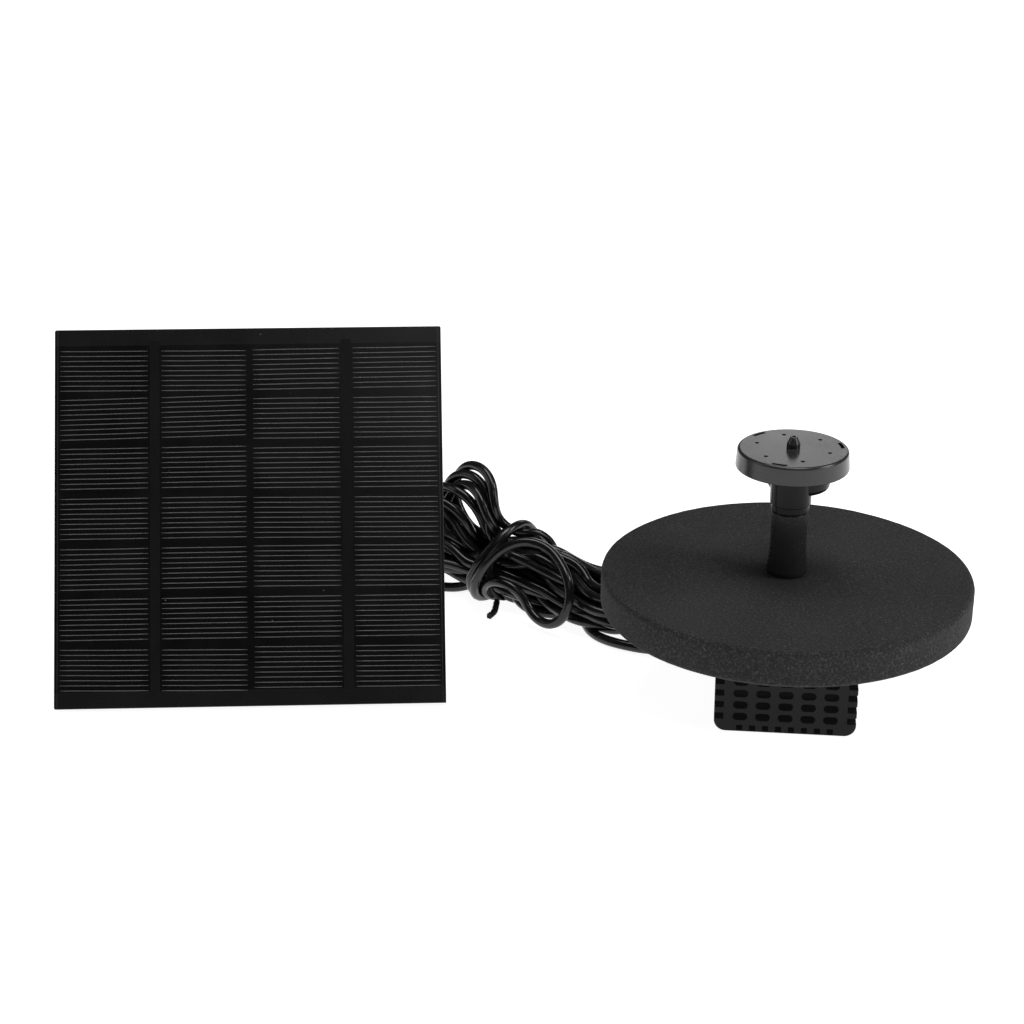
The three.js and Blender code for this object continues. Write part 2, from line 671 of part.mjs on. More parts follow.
// The head's lower half: a socket on the riser, a floor that closes the cap, and a round chamber
// under it, open to the cap.
function makeDish() {
  const { neck, bottom, collar, chamber, underside, radius } = DISH;
  const floor = underside + DISH.floor;
  const [x, y] = chamber.at;
  const bowl = [
    [0, chamber.bottom],
    ...arc(chamber.radius - chamber.corner, chamber.bottom + chamber.corner, chamber.corner, -90, 0),
    [chamber.radius, floor],
    [0, floor],
  ];
  const hollow = disc(chamber.radius - chamber.wall, chamber.bottom + chamber.wall, floor + 1);
  const stem = [
    [0, bottom], [collar.radius, bottom], [collar.radius, collar.top], [neck, collar.top + GAP],
    [neck, floor], [0, floor],
  ];
  const plate = join(
    turnedUpright(disc(radius, underside, floor)),
    turnedUpright(bowl).translate(x, y, 0),
  );
  const shell = join(cut(plate, turnedUpright(hollow).translate(x, y, 0)), turnedUpright(stem));
  const socket = disc(RISER.spigot + 0.25, bottom - 1, RISER.top + 0.4);
  return cut(shell, turnedUpright(socket), turnedUpright(disc(OUTLET.bore, bottom, floor + 1)));
}

const NIPPLE = { radius: 1.8, tip: 0.95, waist: 1.6, height: 3.3, bore: 0.5 };
const CAP_HOLES = { count: 6, first: 43.5 * DEGREE, radius: 0.6, ring: 10.2 };
const CAP_SLOTS = { count: 3, first: 13.4 * DEGREE, half: 9 * DEGREE, inner: 12.9, outer: 13.9 };

// The cap: a shallow lid with a central jet, a ring of fine holes, and three slots by its rim.
function makeCap() {
  const { radius, topRadius, bottom, top, wall, roof, corner } = CAP;
  const inside = radius - wall;
  const profile = [
    [NIPPLE.bore, top - roof], [inside, top - roof], [inside, bottom], [radius, bottom],
    ...arc(topRadius - corner, top - corner, corner, 0, 90),
    [NIPPLE.radius, top], [NIPPLE.radius, top + NIPPLE.waist], [NIPPLE.tip, top + NIPPLE.height],
    [NIPPLE.bore, top + NIPPLE.height],
  ];
  const tools = [];
  for (let i = 0; i < CAP_HOLES.count; i += 1) {
    const angle = CAP_HOLES.first + (i * 2 * Math.PI) / CAP_HOLES.count;
    const hole = turnedUpright(disc(CAP_HOLES.radius, top - roof - 1, top + 1), 10);
    tools.push(hole.translate(CAP_HOLES.ring * Math.cos(angle), CAP_HOLES.ring * Math.sin(angle), 0));
  }
  for (let i = 0; i < CAP_SLOTS.count; i += 1) {
    const middle = CAP_SLOTS.first + (i * 2 * Math.PI) / CAP_SLOTS.count;
    const [from, to] = [middle - CAP_SLOTS.half, middle + CAP_SLOTS.half];
    const slot = new THREE.Shape();
    slot.absarc(0, 0, CAP_SLOTS.outer, from, to, false);
    slot.absarc(0, 0, CAP_SLOTS.inner, to, from, true);
    tools.push(extrude(slot, top - roof - 1, top + 1));
  }
  return cut(turnedUpright(profile), ...tools);
}

place(pump, 'float_disc', makeFloat(), 'foam');
place(pump, 'riser_tube', makeRiser(), 'caseBlack');
place(pump, 'spray_dish', makeDish(), 'headGrey');
place(pump, 'spray_cap', makeCap(), 'headGrey');

// ---------------------------------------------------------------- cable
// A hank, with a lead to the panel and one to the pump. The leads' routes are points on the cable's
// middle line, in the kit's own frame.

const PANEL_LEAD = [
  [-48.5, 27.9, 63.1], [-48.4, 25.5, 58.7], [-48.2, 23.2, 53.4], [-48.0, 21.4, 46.0],
  [-47.6, 20.8, 36.0], [-47.0, 21.8, 27.0], [-46.2, 24.6, 18.5], [-45.2, 29.4, 11.0],
  [-43.6, 35.8, 5.6], [-41.4, 43.0, 2.6], [-38.6, 49.8, 1.7], [-34.6, 56.2, 1.7],
  [-29.9, 61.6, 1.7],
];

const PUMP_LEAD = [
  [24.7, 34.0, 1.7], [29.4, 29.2, 1.7], [35.6, 25.4, 1.7], [42.8, 22.8, 1.7], [49.4, 23.2, 1.7],
  [54.6, 27.0, 1.7], [58.2, 33.0, 1.8], [62.0, 39.2, 2.2], [67.2, 43.6, 3.0], [72.8, 44.6, 4.2],
  [76.6, 41.6, 5.8], [76.6, 37.0, 7.6], [75.0, 32.6, 9.0], [74.23, 28.35, 9.4],
];

function makeCord(points, steps) {
  const curve = new THREE.CatmullRomCurve3(points.map((p) => new THREE.Vector3(...p)));
  const section = new THREE.Shape();
  section.absarc(0, 0, CORD.radius, 0, 2 * Math.PI, false);
  const options = { steps, extrudePath: curve, curveSegments: CORD.sides / 2, bevelEnabled: false };
  return toGeometry(toSolid(new THREE.ExtrudeGeometry(section, options)));
}

// Hank frame: X along the hank from its tied waist, Y to its back, zero on the ground.
const HANK = {
  waistAt: [-1.6, 61.1], // the middle of the waist, X and Y in the kit's own frame
  turn: -38 * DEGREE,
  waist: { from: -4, to: 8, radius: 9.7, middle: 12.6 },
  left: { middle: -19, lobe: 20.5, side: 16, up: 21 },
  right: { end: 53, side: 10.5, back: 8, step: 36.9, front: -11 },
  low: 0.2,
};

const hank = new THREE.Group();
hank.position.set(HANK.waistAt[0], HANK.waistAt[1], 0);
hank.rotation.z = HANK.turn;
fountain.add(hank);

// The hank from its front: tall fanned loops at the left, a tied waist, low loops at the right.
function hankFront() {
  const { waist, left, right, low } = HANK;
  const end = 7.5;
  const shape = new THREE.Shape();
  shape.moveTo(left.middle, low);
  shape.lineTo(waist.from - 4, low);
  shape.lineTo(waist.from, waist.middle - waist.radius);
  shape.lineTo(waist.to, waist.middle - waist.radius);
  shape.lineTo(waist.to + 5, low);
  shape.absarc(right.end - end, low + end, end, -Math.PI / 2, Math.PI / 2, false);
  shape.lineTo(waist.to + 16, waist.middle + waist.radius - 1);
  shape.lineTo(waist.from, waist.middle + waist.radius);
  shape.absarc(left.middle, left.up, left.lobe, 35 * DEGREE, 250 * DEGREE, false);
  shape.closePath();
  return shape;
}

// The hank from above. The cable's own end comes out of it at the step in its front side.
function hankPlan() {
  const { waist, left, right } = HANK;
  const reach = right.end - right.side;
  const shape = new THREE.Shape();
  shape.moveTo(waist.from, -waist.radius);
  shape.lineTo(waist.to, -waist.radius);
  shape.lineTo(right.step - 8, right.front);
  shape.lineTo(right.step, right.front);
  shape.lineTo(right.step, right.back - right.side);
  shape.absarc(reach, right.back, right.side, -Math.PI / 2, Math.PI / 2, false);
  shape.lineTo(waist.to, waist.radius);
  shape.lineTo(waist.from, waist.radius);
  shape.absarc(left.middle, -1, left.side, 50 * DEGREE, 310 * DEGREE, false);
  shape.closePath();
  return shape;
}

function makeHank() {
  return common(extrudeAlongY(hankFront(), -30, 30, 6), extrude(hankPlan(), -5, 60, 6));
}

// A flat wire tie round the waist, with its twisted tail lying out in front.
function makeTwistTie() {
  const { radius, middle } = HANK.waist;
  const thick = 0.7;
  const size = 2 * (radius + GAP + thick);
  const outer = roundedRectangle(size, size, 1.2, 0, middle);
  outer.holes.push(roundedRectangle(size - 2 * thick, size - 2 * thick, 0.5, 0, middle));
  const band = extrudeAlongX(outer, 0, 3);
  const drop = box([0, -radius - 1, 0.5], [3, -radius + 0.6, middle - radius]);
  const tail = box([0.4, -radius - 5.4, 0.4], [2.4, -radius + 1, 1.4]);
  return join(band, drop, tail);
}

place(fountain, 'cord_panel_lead', makeCord(PANEL_LEAD, 24), 'cable');
place(hank, 'cord_hank', makeHank(), 'cable');
place(fountain, 'cord_pump_lead', makeCord(PUMP_LEAD, 22), 'cable');
place(hank, 'twist_tie', makeTwistTie(), 'cable');

export default fountain;
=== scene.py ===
"""The looks of the solar fountain kit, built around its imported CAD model."""
import json
import math
from contextlib import contextmanager

import bmesh
import bpy
import numpy as np
from mathutils import Euler, Matrix, Vector, geometry, noise


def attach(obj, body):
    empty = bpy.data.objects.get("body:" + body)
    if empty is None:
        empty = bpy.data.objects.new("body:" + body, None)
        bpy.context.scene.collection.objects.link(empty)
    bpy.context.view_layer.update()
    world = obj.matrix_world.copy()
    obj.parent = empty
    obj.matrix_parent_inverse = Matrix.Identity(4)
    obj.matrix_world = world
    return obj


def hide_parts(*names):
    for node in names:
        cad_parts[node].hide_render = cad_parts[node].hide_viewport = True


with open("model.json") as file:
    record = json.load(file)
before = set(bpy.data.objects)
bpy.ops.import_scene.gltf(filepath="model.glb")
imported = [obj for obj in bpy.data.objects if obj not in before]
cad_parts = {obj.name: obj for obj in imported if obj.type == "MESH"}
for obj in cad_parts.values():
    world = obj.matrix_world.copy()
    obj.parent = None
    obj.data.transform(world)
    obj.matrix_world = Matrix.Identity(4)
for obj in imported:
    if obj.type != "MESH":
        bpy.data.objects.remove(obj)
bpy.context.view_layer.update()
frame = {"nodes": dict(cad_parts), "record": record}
nodes = frame["nodes"]

MM = 0.001
scene = bpy.context.scene


def linked(name, data):
    piece = bpy.data.objects.new(name, data)
    scene.collection.objects.link(piece)
    return piece


# ---------------------------------------------------------------- camera

CAMERA_AT = (9.91, -563.23, 290.69)  # mm
CAMERA_PITCH = math.radians(22.7)
CAMERA_YAW = math.radians(-0.80)
CAMERA_ROLL = math.radians(0.10)
CAMERA_LENS = 77.34  # mm on a sensor 36 mm wide


def make_camera():
    data = bpy.data.cameras.new("camera")
    data.sensor_width = 36
    data.lens = CAMERA_LENS
    data.clip_start, data.clip_end = 0.01, 20
    camera = linked("camera", data)
    turn = Euler((math.pi / 2 - CAMERA_PITCH, 0, -CAMERA_YAW)).to_matrix().to_4x4()
    roll = Matrix.Rotation(CAMERA_ROLL, 4, "Z")
    camera.matrix_world = Matrix.Translation(Vector(CAMERA_AT) * MM) @ turn @ roll
    scene.camera = camera


make_camera()


# ---------------------------------------------------------------- the cable's route, in mm

CORD_DIAMETER = 3.0
STEP = 2.0  # between the points of the route while it settles
ARC = 3  # steps either side of a point, over which its bend is limited
LEAST_BEND = 11.4  # the smallest radius the cable takes
MOST_RISE = LEAST_BEND * (1 - math.cos(ARC * STEP / LEAST_BEND))

PANEL_LEAD = [
    (-48.5, 27.9, 63.1), (-48.4, 25.5, 58.7), (-48.2, 23.2, 53.4), (-48.0, 21.4, 46.0),
    (-47.6, 20.8, 36.0), (-47.0, 21.8, 27.0), (-46.2, 24.6, 18.5), (-45.2, 29.4, 11.0),
    (-43.6, 35.8, 5.6), (-41.4, 43.0, 2.6), (-38.6, 49.8, 1.7), (-34.6, 56.2, 1.7),
]
PUMP_LEAD = [
    (29.4, 29.2, 1.7), (35.6, 25.4, 1.7), (42.8, 22.8, 1.7), (49.4, 23.2, 1.7),
    (54.6, 27.0, 1.7), (58.2, 33.0, 1.8), (62.0, 39.2, 2.2), (67.2, 43.6, 3.0),
    (72.8, 44.6, 4.2), (76.6, 41.6, 5.8), (76.6, 37.0, 7.6), (75.0, 32.6, 9.0),
    (74.23, 28.35, 9.4),
]

TURNS = 13
WAIST = np.array([-1.6, 61.1, 0.0])
WAIST_UP = 12.6
HANK_TURN = math.radians(-38)
ALONG = np.array([math.cos(HANK_TURN), math.sin(HANK_TURN), 0.0])
FRONT = np.array([math.sin(HANK_TURN), -math.cos(HANK_TURN), 0.0])
UP = np.array([0.0, 0.0, 1.0])

# Two turns round the waist, a loop down over the bundle and back, and out from under it:
# along the hank, towards its front, and up.
WRAPS = [
    (6.5, -2.6, 19.6), (9.6, -6.4, 17.2), (10.8, -9.4, 12.8), (9.4, -11.2, 8), (6, -10, 3.4),
    (1.2, -5.6, 1.7), (-3.4, 0.6, 1.6), (-5.8, 6.0, 3.6), (-5.2, 8.8, 8.7), (-2.8, 10.2, 13.9),
    (0.4, 10.2, 18.6), (3.4, 8.8, 22.3), (5.6, 5, 24.5), (6.6, 0.4, 24.9), (6.6, -4.6, 23.4),
    (5.8, -9.2, 19), (4.2, -11.8, 12.5), (1.6, -10.6, 5.8), (-1.2, -5.6, 1.8), (-2.4, 1, 1.6),
    (-2.4, 7.2, 2.6), (-1.4, 11.4, 7), (0.8, 13.4, 12.2), (3.4, 13.4, 16.8), (6, 12.2, 20.4),
    (8.4, 10, 23), (11, 6.6, 24.8), (14.2, 3.4, 25.4), (18.2, 2.2, 24.8), (22.4, 3.2, 22.8),
    (26, 5.4, 19.6), (29, 8, 15.4), (31.4, 9.8, 10.6), (32, 10.6, 6), (30, 11, 2.6),
    (26, 10.8, 1.8), (21.6, 9.8, 3.4), (17.4, 8.8, 6.6), (13, 8.2, 10), (8.6, 8.6, 12.8),
    (4.2, 9.6, 13.6), (0.6, 10.4, 11.2), (-1.2, 9.4, 6.2), (-0.6, 5.4, 2.2), (2.6, 0.4, 1.6),
    (7.6, -3.4, 1.6), (13.4, -6, 1.6), (19.6, -7, 1.6), (25.2, -5.6, 1.6), (29.8, -2.2, 1.6),
    (33.8, 1.4, 1.6), (38, 4.4, 1.6),
]


def in_hank(along, front, up):
    return WAIST + along * ALONG + front * FRONT + up * UP


def waist_places(count, pitch=3.02):
    """Where the strands cross the waist: a close packing, lowest first."""
    cells = [
        (pitch * (q + 0.5 * (r % 2)) + 0.4, pitch * r * math.sqrt(3) / 2 + 0.2)
        for r in range(-5, 6)
        for q in range(-5, 6)
    ]
    cells.sort(key=lambda c: math.hypot(*c))
    return sorted(cells[:count], key=lambda c: c[1] - 0.25 * c[0])


def petal(base, out, side, length, radius, lowest):
    """One loop: two straight legs that meet a round end."""
    reach = length - radius
    spread = math.asin(min(0.95, radius / reach))
    leg = math.sqrt(reach * reach - radius * radius)
    away = math.cos(spread) * out + math.sin(spread) * side
    back = math.cos(spread) * out - math.sin(spread) * side
    points = [base + away * leg * f for f in (0.33, 0.66)]
    for angle in np.linspace(math.pi / 2 + spread, -(math.pi / 2 + spread), 7):
        way = math.cos(angle) * out + math.sin(angle) * side
        points.append(base + out * reach + radius * way)
    points += [base + back * leg * f for f in (0.66, 0.33)]
    for point in points:
        point[2] = max(lowest, point[2])
    return points


def low_loop(turn, share, draw):
    """A loop at the right-hand end, lying on those below it."""
    length, radius = 41 + 8 * draw[0], 6.2 + 2.0 * draw[1]
    plan = math.radians(-13 + 9 * (draw[2] - 0.5))
    out = math.cos(plan) * ALONG + math.sin(plan) * FRONT
    side = -math.sin(plan) * ALONG + math.cos(plan) * FRONT
    base = in_hank(4, 0, 0)
    points = petal(base, out, side * (1 if turn % 2 else -1), length, radius, 0)
    start = WAIST_UP + (share - 0.5) * 15
    top = 3.4 + 4.6 * share
    for point in points:
        f = min(1, max(0, ((point - base) @ out) / length))
        point[2] = max(1.6, start + (top - start) * min(1, f * 1.4) - 3.0 * max(0, f - 0.6))
    return points


def tall_loop(turn, share, draw):
    """A loop at the left-hand end, which springs up more from turn to turn."""
    tall = max(0, (share - 0.2) / 0.8)
    rise = math.radians(4 + 33 * tall + 6 * (draw[0] - 0.5))
    swing = math.radians(6 - 18 * tall + 24 * (draw[1] - 0.5))
    radius = 8.5 + 2.6 * tall + 1.5 * (draw[3] - 0.5)
    length = 34 - 5 * tall + 4 * (draw[2] - 0.5)
    flat = -math.cos(swing) * ALONG + math.sin(swing) * FRONT
    out = math.cos(rise) * flat + math.sin(rise) * UP
    side = np.cross(UP, flat)
    side /= np.linalg.norm(side)
    if side @ FRONT < 0:
        side = -side
    over = np.cross(out, side)
    over *= np.sign(over[2])
    roll = math.radians(8 + 80 * min(1, tall * 1.5) + 14 * (draw[1] - 0.5))
    across = math.cos(roll) * side + math.sin(roll) * over
    base = in_hank(-2 + 4.5 * tall, 0, WAIST_UP + (share - 0.5) * 8)
    return petal(base, out, across * (1 if turn % 2 else -1), length, radius, 1.6)


def planned_route():
    draws = np.random.default_rng(3)
    places = waist_places(2 * TURNS + 1)

    def through_waist(place, way):
        front, up = place
        return [in_hank(3.0 * way * k, front, WAIST_UP + up) for k in (-1, 0, 1)]

    route = [np.array(p) for p in PANEL_LEAD]
    route += [in_hank(-22, 9, 1.6), in_hank(-13, 8, 2.2)]
    for turn in range(TURNS):
        share = turn / (TURNS - 1)
        route += through_waist(places[2 * turn], 1)
        route += low_loop(turn, share, draws.random(4))
        route += through_waist(places[2 * turn + 1], -1)
        route += tall_loop(turn, share, draws.random(4))
    route += through_waist(places[2 * TURNS], 1)
    route += [in_hank(*p) for p in WRAPS]
    route += [np.array(p) for p in PUMP_LEAD]
    return route


def smooth_line(points, spacing):
    """A curve through the points, at even spacing."""
    p = np.asarray(points, float)
    p = np.vstack([2 * p[0] - p[1], p, 2 * p[-1] - p[-2]])
    parts = []
    for a, b, c, d in zip(p[:-3], p[1:-2], p[2:-1], p[3:]):
        count = max(2, int(np.ceil(np.linalg.norm(c - b) * 3 / min(spacing, 1.0))))
        t = np.linspace(0, 1, count, endpoint=False)[:, None]
        parts.append(0.5 * (
            2 * b + (c - a) * t + (2 * a - 5 * b + 4 * c - d) * t ** 2
            + (3 * b - a - 3 * c + d) * t ** 3
        ))
    line = np.vstack(parts + [p[-2:-1]])
    at = np.r_[0, np.cumsum(np.linalg.norm(np.diff(line, axis=0), axis=1))]
    even = np.linspace(0, at[-1], int(round(at[-1] / spacing)) + 1)
    return np.stack([np.interp(even, at, line[:, k]) for k in range(3)], 1)


def near_pairs(points, reach):
    """Pairs of points nearer than reach, apart from neighbours on the line."""
    square = (points ** 2).sum(1)
    gap = square[:, None] + square[None, :] - 2 * points @ points.T
    first, second = np.nonzero(gap < reach * reach)
    apart = second - first > 4
    return first[apart], second[apart]


def settle(line, held, rounds=600):
    """Lets the strands push each other apart and down to the ground, at a constant length."""
    rest, line = line.copy(), line.copy()
    free = (~held)[:, None].astype(float)
    floor = CORD_DIAMETER / 2 + 0.05
    for turn in range(rounds):
        memory = 0.02 if turn < rounds * 0.6 else 0.004
        line += free * memory * (rest - line)
        bend = np.zeros_like(line)
        bend[1:-1] = 0.5 * (line[:-2] + line[2:]) - line[1:-1]
        change = np.zeros_like(line)
        change[1:-1] = 0.5 * (bend[:-2] + bend[2:]) - bend[1:-1]
        line -= free * 0.3 * change
        middle = 0.5 * (line[:-2 * ARC] + line[2 * ARC:]) - line[ARC:-ARC]
        rise = np.linalg.norm(middle, axis=1, keepdims=True)
        push = np.maximum(0, 1 - MOST_RISE / np.maximum(rise, 1e-9)) * middle
        line[ARC:-ARC] += 0.5 * push * free[ARC:-ARC]
        line[:-2 * ARC] -= 0.25 * push * free[:-2 * ARC]
        line[2 * ARC:] -= 0.25 * push * free[2 * ARC:]
        for start in (0, 1, 0, 1):
            a, b = line[start:-1:2], line[start + 1::2]
            count = min(len(a), len(b))
            step = b[:count] - a[:count]
            size = np.linalg.norm(step, axis=1, keepdims=True)
            pull = (size - STEP) / np.maximum(size, 1e-9) * step * 0.5
            end = start + 2 * count
            line[start:end:2] += pull * free[start:end:2]
            line[start + 1:end + 1:2] -= pull * free[start + 1:end + 1:2]
        if turn % 6 == 0:
            first, second = near_pairs(line, CORD_DIAMETER + 1.6)
        for _ in range(2):
            step = line[second] - line[first]
            size = np.linalg.norm(step, axis=1)
            close = size < CORD_DIAMETER
            i, j, step, size = first[close], second[close], step[close], size[close]
            push = (CORD_DIAMETER * 1.01 - size)[:, None] * step / np.maximum(size, 1e-6)[:, None]
            moved, count = np.zeros_like(line), np.zeros(len(line))
            np.add.at(moved, i, -0.5 * push)
            np.add.at(moved, j, 0.5 * push)
            np.add.at(count, i, 1)
            np.add.at(count, j, 1)
            line += free * moved / np.maximum(count, 1)[:, None] * 1.2
        line[:, 2] = np.maximum(line[:, 2], floor)
    return line


def cable_route():
    line = smooth_line(planned_route(), STEP)
    from_waist = line - WAIST - WAIST_UP * UP
    along = np.abs(from_waist @ ALONG)
    radius = np.hypot(from_waist @ FRONT, from_waist[:, 2])
    at = np.arange(len(line))
    held = ((along < 3.2) & (radius < 7.2)) | (at < 40) | (at > len(line) - 48)
    return settle(line, held)


def eased(line, rounds):
    """Takes the jitter out of a line, and leaves its ends where they are."""
    line = line.copy()
    for _ in range(rounds):
        line[1:-1] += 0.5 * (0.5 * (line[:-2] + line[2:]) - line[1:-1])
    return line


route = cable_route()
cable_line = smooth_line(eased(smooth_line(route, 0.8), 14), 0.8)


# ---------------------------------------------------------------- materials

COLOUR = {m["slot"]: m["base_color"] for m in frame["record"]["materials"]}


class Look:
    """A material's nodes, wired one after the other."""

    def __init__(self, name):
        self.material = bpy.data.materials.new(name)
        self.material.use_nodes = True
        self.nodes = self.material.node_tree.nodes
        self.links = self.material.node_tree.links
        self.shader = self.nodes["Principled BSDF"]
        self.place = self.node("ShaderNodeTexCoord").outputs["Object"]

    def node(self, kind, values=(), **settings):
        made = self.nodes.new(kind)
        for key, value in settings.items():
            setattr(made, key, value)
        for key, value in dict(values).items():
            if hasattr(value, "is_output"):
                self.links.new(value, made.inputs[key])
            else:
                made.inputs[key].default_value = value
        return made

    def noise(self, per_mm, detail=3.0, roughness=0.55, place=None):
        """Noise from 0 to 1, with features of about 1 / per_mm millimetres."""
        values = {"Vector": place or self.place, "Scale": per_mm * 1000, "Detail": detail,
                  "Roughness": roughness}
        return self.node("ShaderNodeTexNoise", values).outputs["Fac"]

    def spots(self, per_mm, size, place=None):
        """Near 1 in small separate spots, and 0 elsewhere."""
        values = {"Vector": place or self.place, "Scale": per_mm * 1000}
        far = self.node("ShaderNodeTexVoronoi", values).outputs["Distance"]
        return self.ranged(far, 0, size, 1, 0)

    def rare_spots(self, per_mm, size, patch_per_mm, low, high, place=None):
        """Spots that show only where a broader noise runs high."""
        here = self.ranged(self.noise(patch_per_mm, 1, place=place), low, high)
        return self.math("MULTIPLY", self.spots(per_mm, size, place), here)

    def ranged(self, value, low=0.3, high=0.7, to_low=0, to_high=1):
        values = {"Value": value, "From Min": low, "From Max": high, "To Min": to_low,
                  "To Max": to_high}
        return self.node("ShaderNodeMapRange", values).outputs["Result"]

    def wave(self, place, per_m, distortion, **settings):
        values = {"Vector": place, "Scale": per_m, "Distortion": distortion, "Detail": 1.0}
        return self.node("ShaderNodeTexWave", values, **settings).outputs["Fac"]

    def math(self, operation, a, b=0.0, c=0.0):
        made = self.node("ShaderNodeMath", {0: a, 1: b, 2: c}, operation=operation)
        return made.outputs[0]

    def mix(self, factor, a, b):
        made = self.node("ShaderNodeMix", data_type="RGBA")
        for key, value in (("Factor", factor), ("A", a), ("B", b)):
            wanted = "VALUE" if key == "Factor" else "RGBA"
            socket = next(s for s in made.inputs if s.name == key and s.type == wanted)
            if hasattr(value, "is_output"):
                self.links.new(value, socket)
            else:
                socket.default_value = (*value, 1)
        return next(s for s in made.outputs if s.type == "RGBA")

    def tones(self, factor, base, low, high):
        """From base times low to base times high."""
        return self.mix(factor, lighter(base, low), lighter(base, high))

    def colour(self, value):
        self.links.new(value, self.shader.inputs["Base Color"])

    def roughness(self, value, low, high, start=0.3, end=0.7):
        """Roughness from low to high while value goes from start to end."""
        rough = self.ranged(value, start, end, low, high)
        self.links.new(rough, self.shader.inputs["Roughness"])

    def set(self, **values):
        """Constants of the shader, with _ for a space."""
        for key, value in values.items():
            self.shader.inputs[key.replace("_", " ")].default_value = value

    def bump(self, height, depth_mm, strength=1.0):
        """Relief of depth_mm where height goes from 0 to 1. Calls add up."""
        values = {"Height": height, "Distance": depth_mm * MM, "Strength": strength}
        normal = self.shader.inputs["Normal"]
        if normal.is_linked:
            values["Normal"] = normal.links[0].from_socket
        made = self.node("ShaderNodeBump", values)
        self.links.new(made.outputs["Normal"], normal)


def lighter(colour, factor):
    return tuple(min(1.0, c * factor) for c in colour)


def moulded(name, slot, rough, grain=3.0, relief=0.006, vary=0.16, coat=0.0, shine=0.25, tone=1.0,
            painted_glow=0.0):
    """Moulded plastic or rubber: a fine grain, uneven gloss and faint handling marks.

    tone is how dark it is beside its slot's colour. The last argument is painted light: a faint
    white glow, painted on as emission, in place of the light that a hollow shell's walls throw on
    each other.
    """
    look = Look(name)
    base = lighter(COLOUR[slot], tone)
    broad = look.noise(0.05, 4)
    fine = look.noise(grain, 4, 0.65)
    patchy = look.tones(look.ranged(broad), base, 1 - vary, 1 + vary)
    scuffs = look.ranged(look.noise(0.35, 8, 0.75), 0.60, 0.78, 0, 0.5)
    look.colour(look.mix(scuffs, patchy, lighter(base, 1.9)))
    blend = look.math("MULTIPLY_ADD", fine, 0.5, look.math("MULTIPLY", broad, 0.5))
    look.roughness(blend, rough - 0.07, rough + 0.09)
    look.bump(fine, relief)
    # Painted light: a faint white glow as emission, for light thrown between a hollow shell's
    # walls.
    look.set(Specular_IOR_Level=shine, Coat_Weight=coat, Coat_Roughness=0.12,
             Emission_Color=(1, 1, 1, 1), Emission_Strength=painted_glow)
    return look.material


def foam():
    """Cut closed-cell foam: tiny open cells with painted shade in their pits and painted light on
    their rims, pale specks painted on as glints where cells catch light, and soft blotches.
    """
    look = Look("foam")
    base = COLOUR["foam"]
    blotch = look.noise(0.035, 4)
    cells = look.noise(1.5, 3, 0.75)
    pits = look.node("ShaderNodeTexVoronoi", {"Vector": look.place, "Scale": 1700.0})
    tone = look.tones(look.ranged(blotch, 0.35, 0.65), base, 0.79, 1.03)
    # Painted shade: darker where the cells' relief is low, in their pits.
    tone = look.mix(look.ranged(cells, 0.30, 0.48, 0.75, 0), tone, lighter(base, 0.35))
    # Painted light: paler where the cells' relief is high, on their rims.
    tone = look.mix(look.ranged(cells, 0.52, 0.72, 0, 0.9), tone, lighter(base, 3.0))
    # Painted glints: pale specks where the cells catch light.
    speck = look.rare_spots(0.55, 0.13, 0.9, 0.56, 0.62)
    look.colour(look.mix(look.math("MULTIPLY", speck, 0.75), tone, (0.22, 0.22, 0.21)))
    look.roughness(cells, 0.86, 0.97)
    look.bump(pits.outputs["Distance"], 0.10, 0.55)
    look.bump(cells, 0.30, 0.7)
    look.set(Sheen_Weight=0.04, Sheen_Roughness=0.6, Specular_IOR_Level=0.12)
    return look.material


def cable_rubber():
    look = Look("cable")
    base = COLOUR["cable"]
    broad, fine = look.noise(0.12, 3), look.noise(1.6, 3)
    tone = look.tones(look.ranged(broad), base, 0.8, 1.3)
    dust = look.rare_spots(0.5, 0.07, 0.7, 0.56, 0.62)
    look.colour(look.mix(look.math("MULTIPLY", dust, 0.5), tone, (0.16, 0.16, 0.15)))
    look.roughness(look.math("ADD", broad, fine), 0.14, 0.26, 0.75, 1.25)
    look.bump(look.noise(0.5, 2), 0.03, 0.5)
    look.bump(fine, 0.004)
    look.set(Specular_IOR_Level=0.4)
    return look.material


PANEL_WIDTH, PANEL_HEIGHT = 110.0, 107.8
ROW_PITCH = 14.15
LOW_MARGIN = 4.4  # under the lowest row of cells
CELLS_HIGH = 98.4  # all seven rows
FRAME_LINE = (54.1, 0.12)  # a thin line up each side: its distance from the middle, half its width
PANEL_CORNER = (-126.2, -15.1, 0.0)
PANEL_TURN = (math.radians(90 - 28.5), 0.0, math.radians(3.2))


def panel_place(look):
    """Places in the panel's own frame: across, up, and out of its face."""
    corner = tuple(c * MM for c in PANEL_CORNER)
    values = {"Vector": look.place, "Location": corner, "Rotation": PANEL_TURN}
    return look.node("ShaderNodeMapping", values, vector_type="TEXTURE").outputs["Vector"]


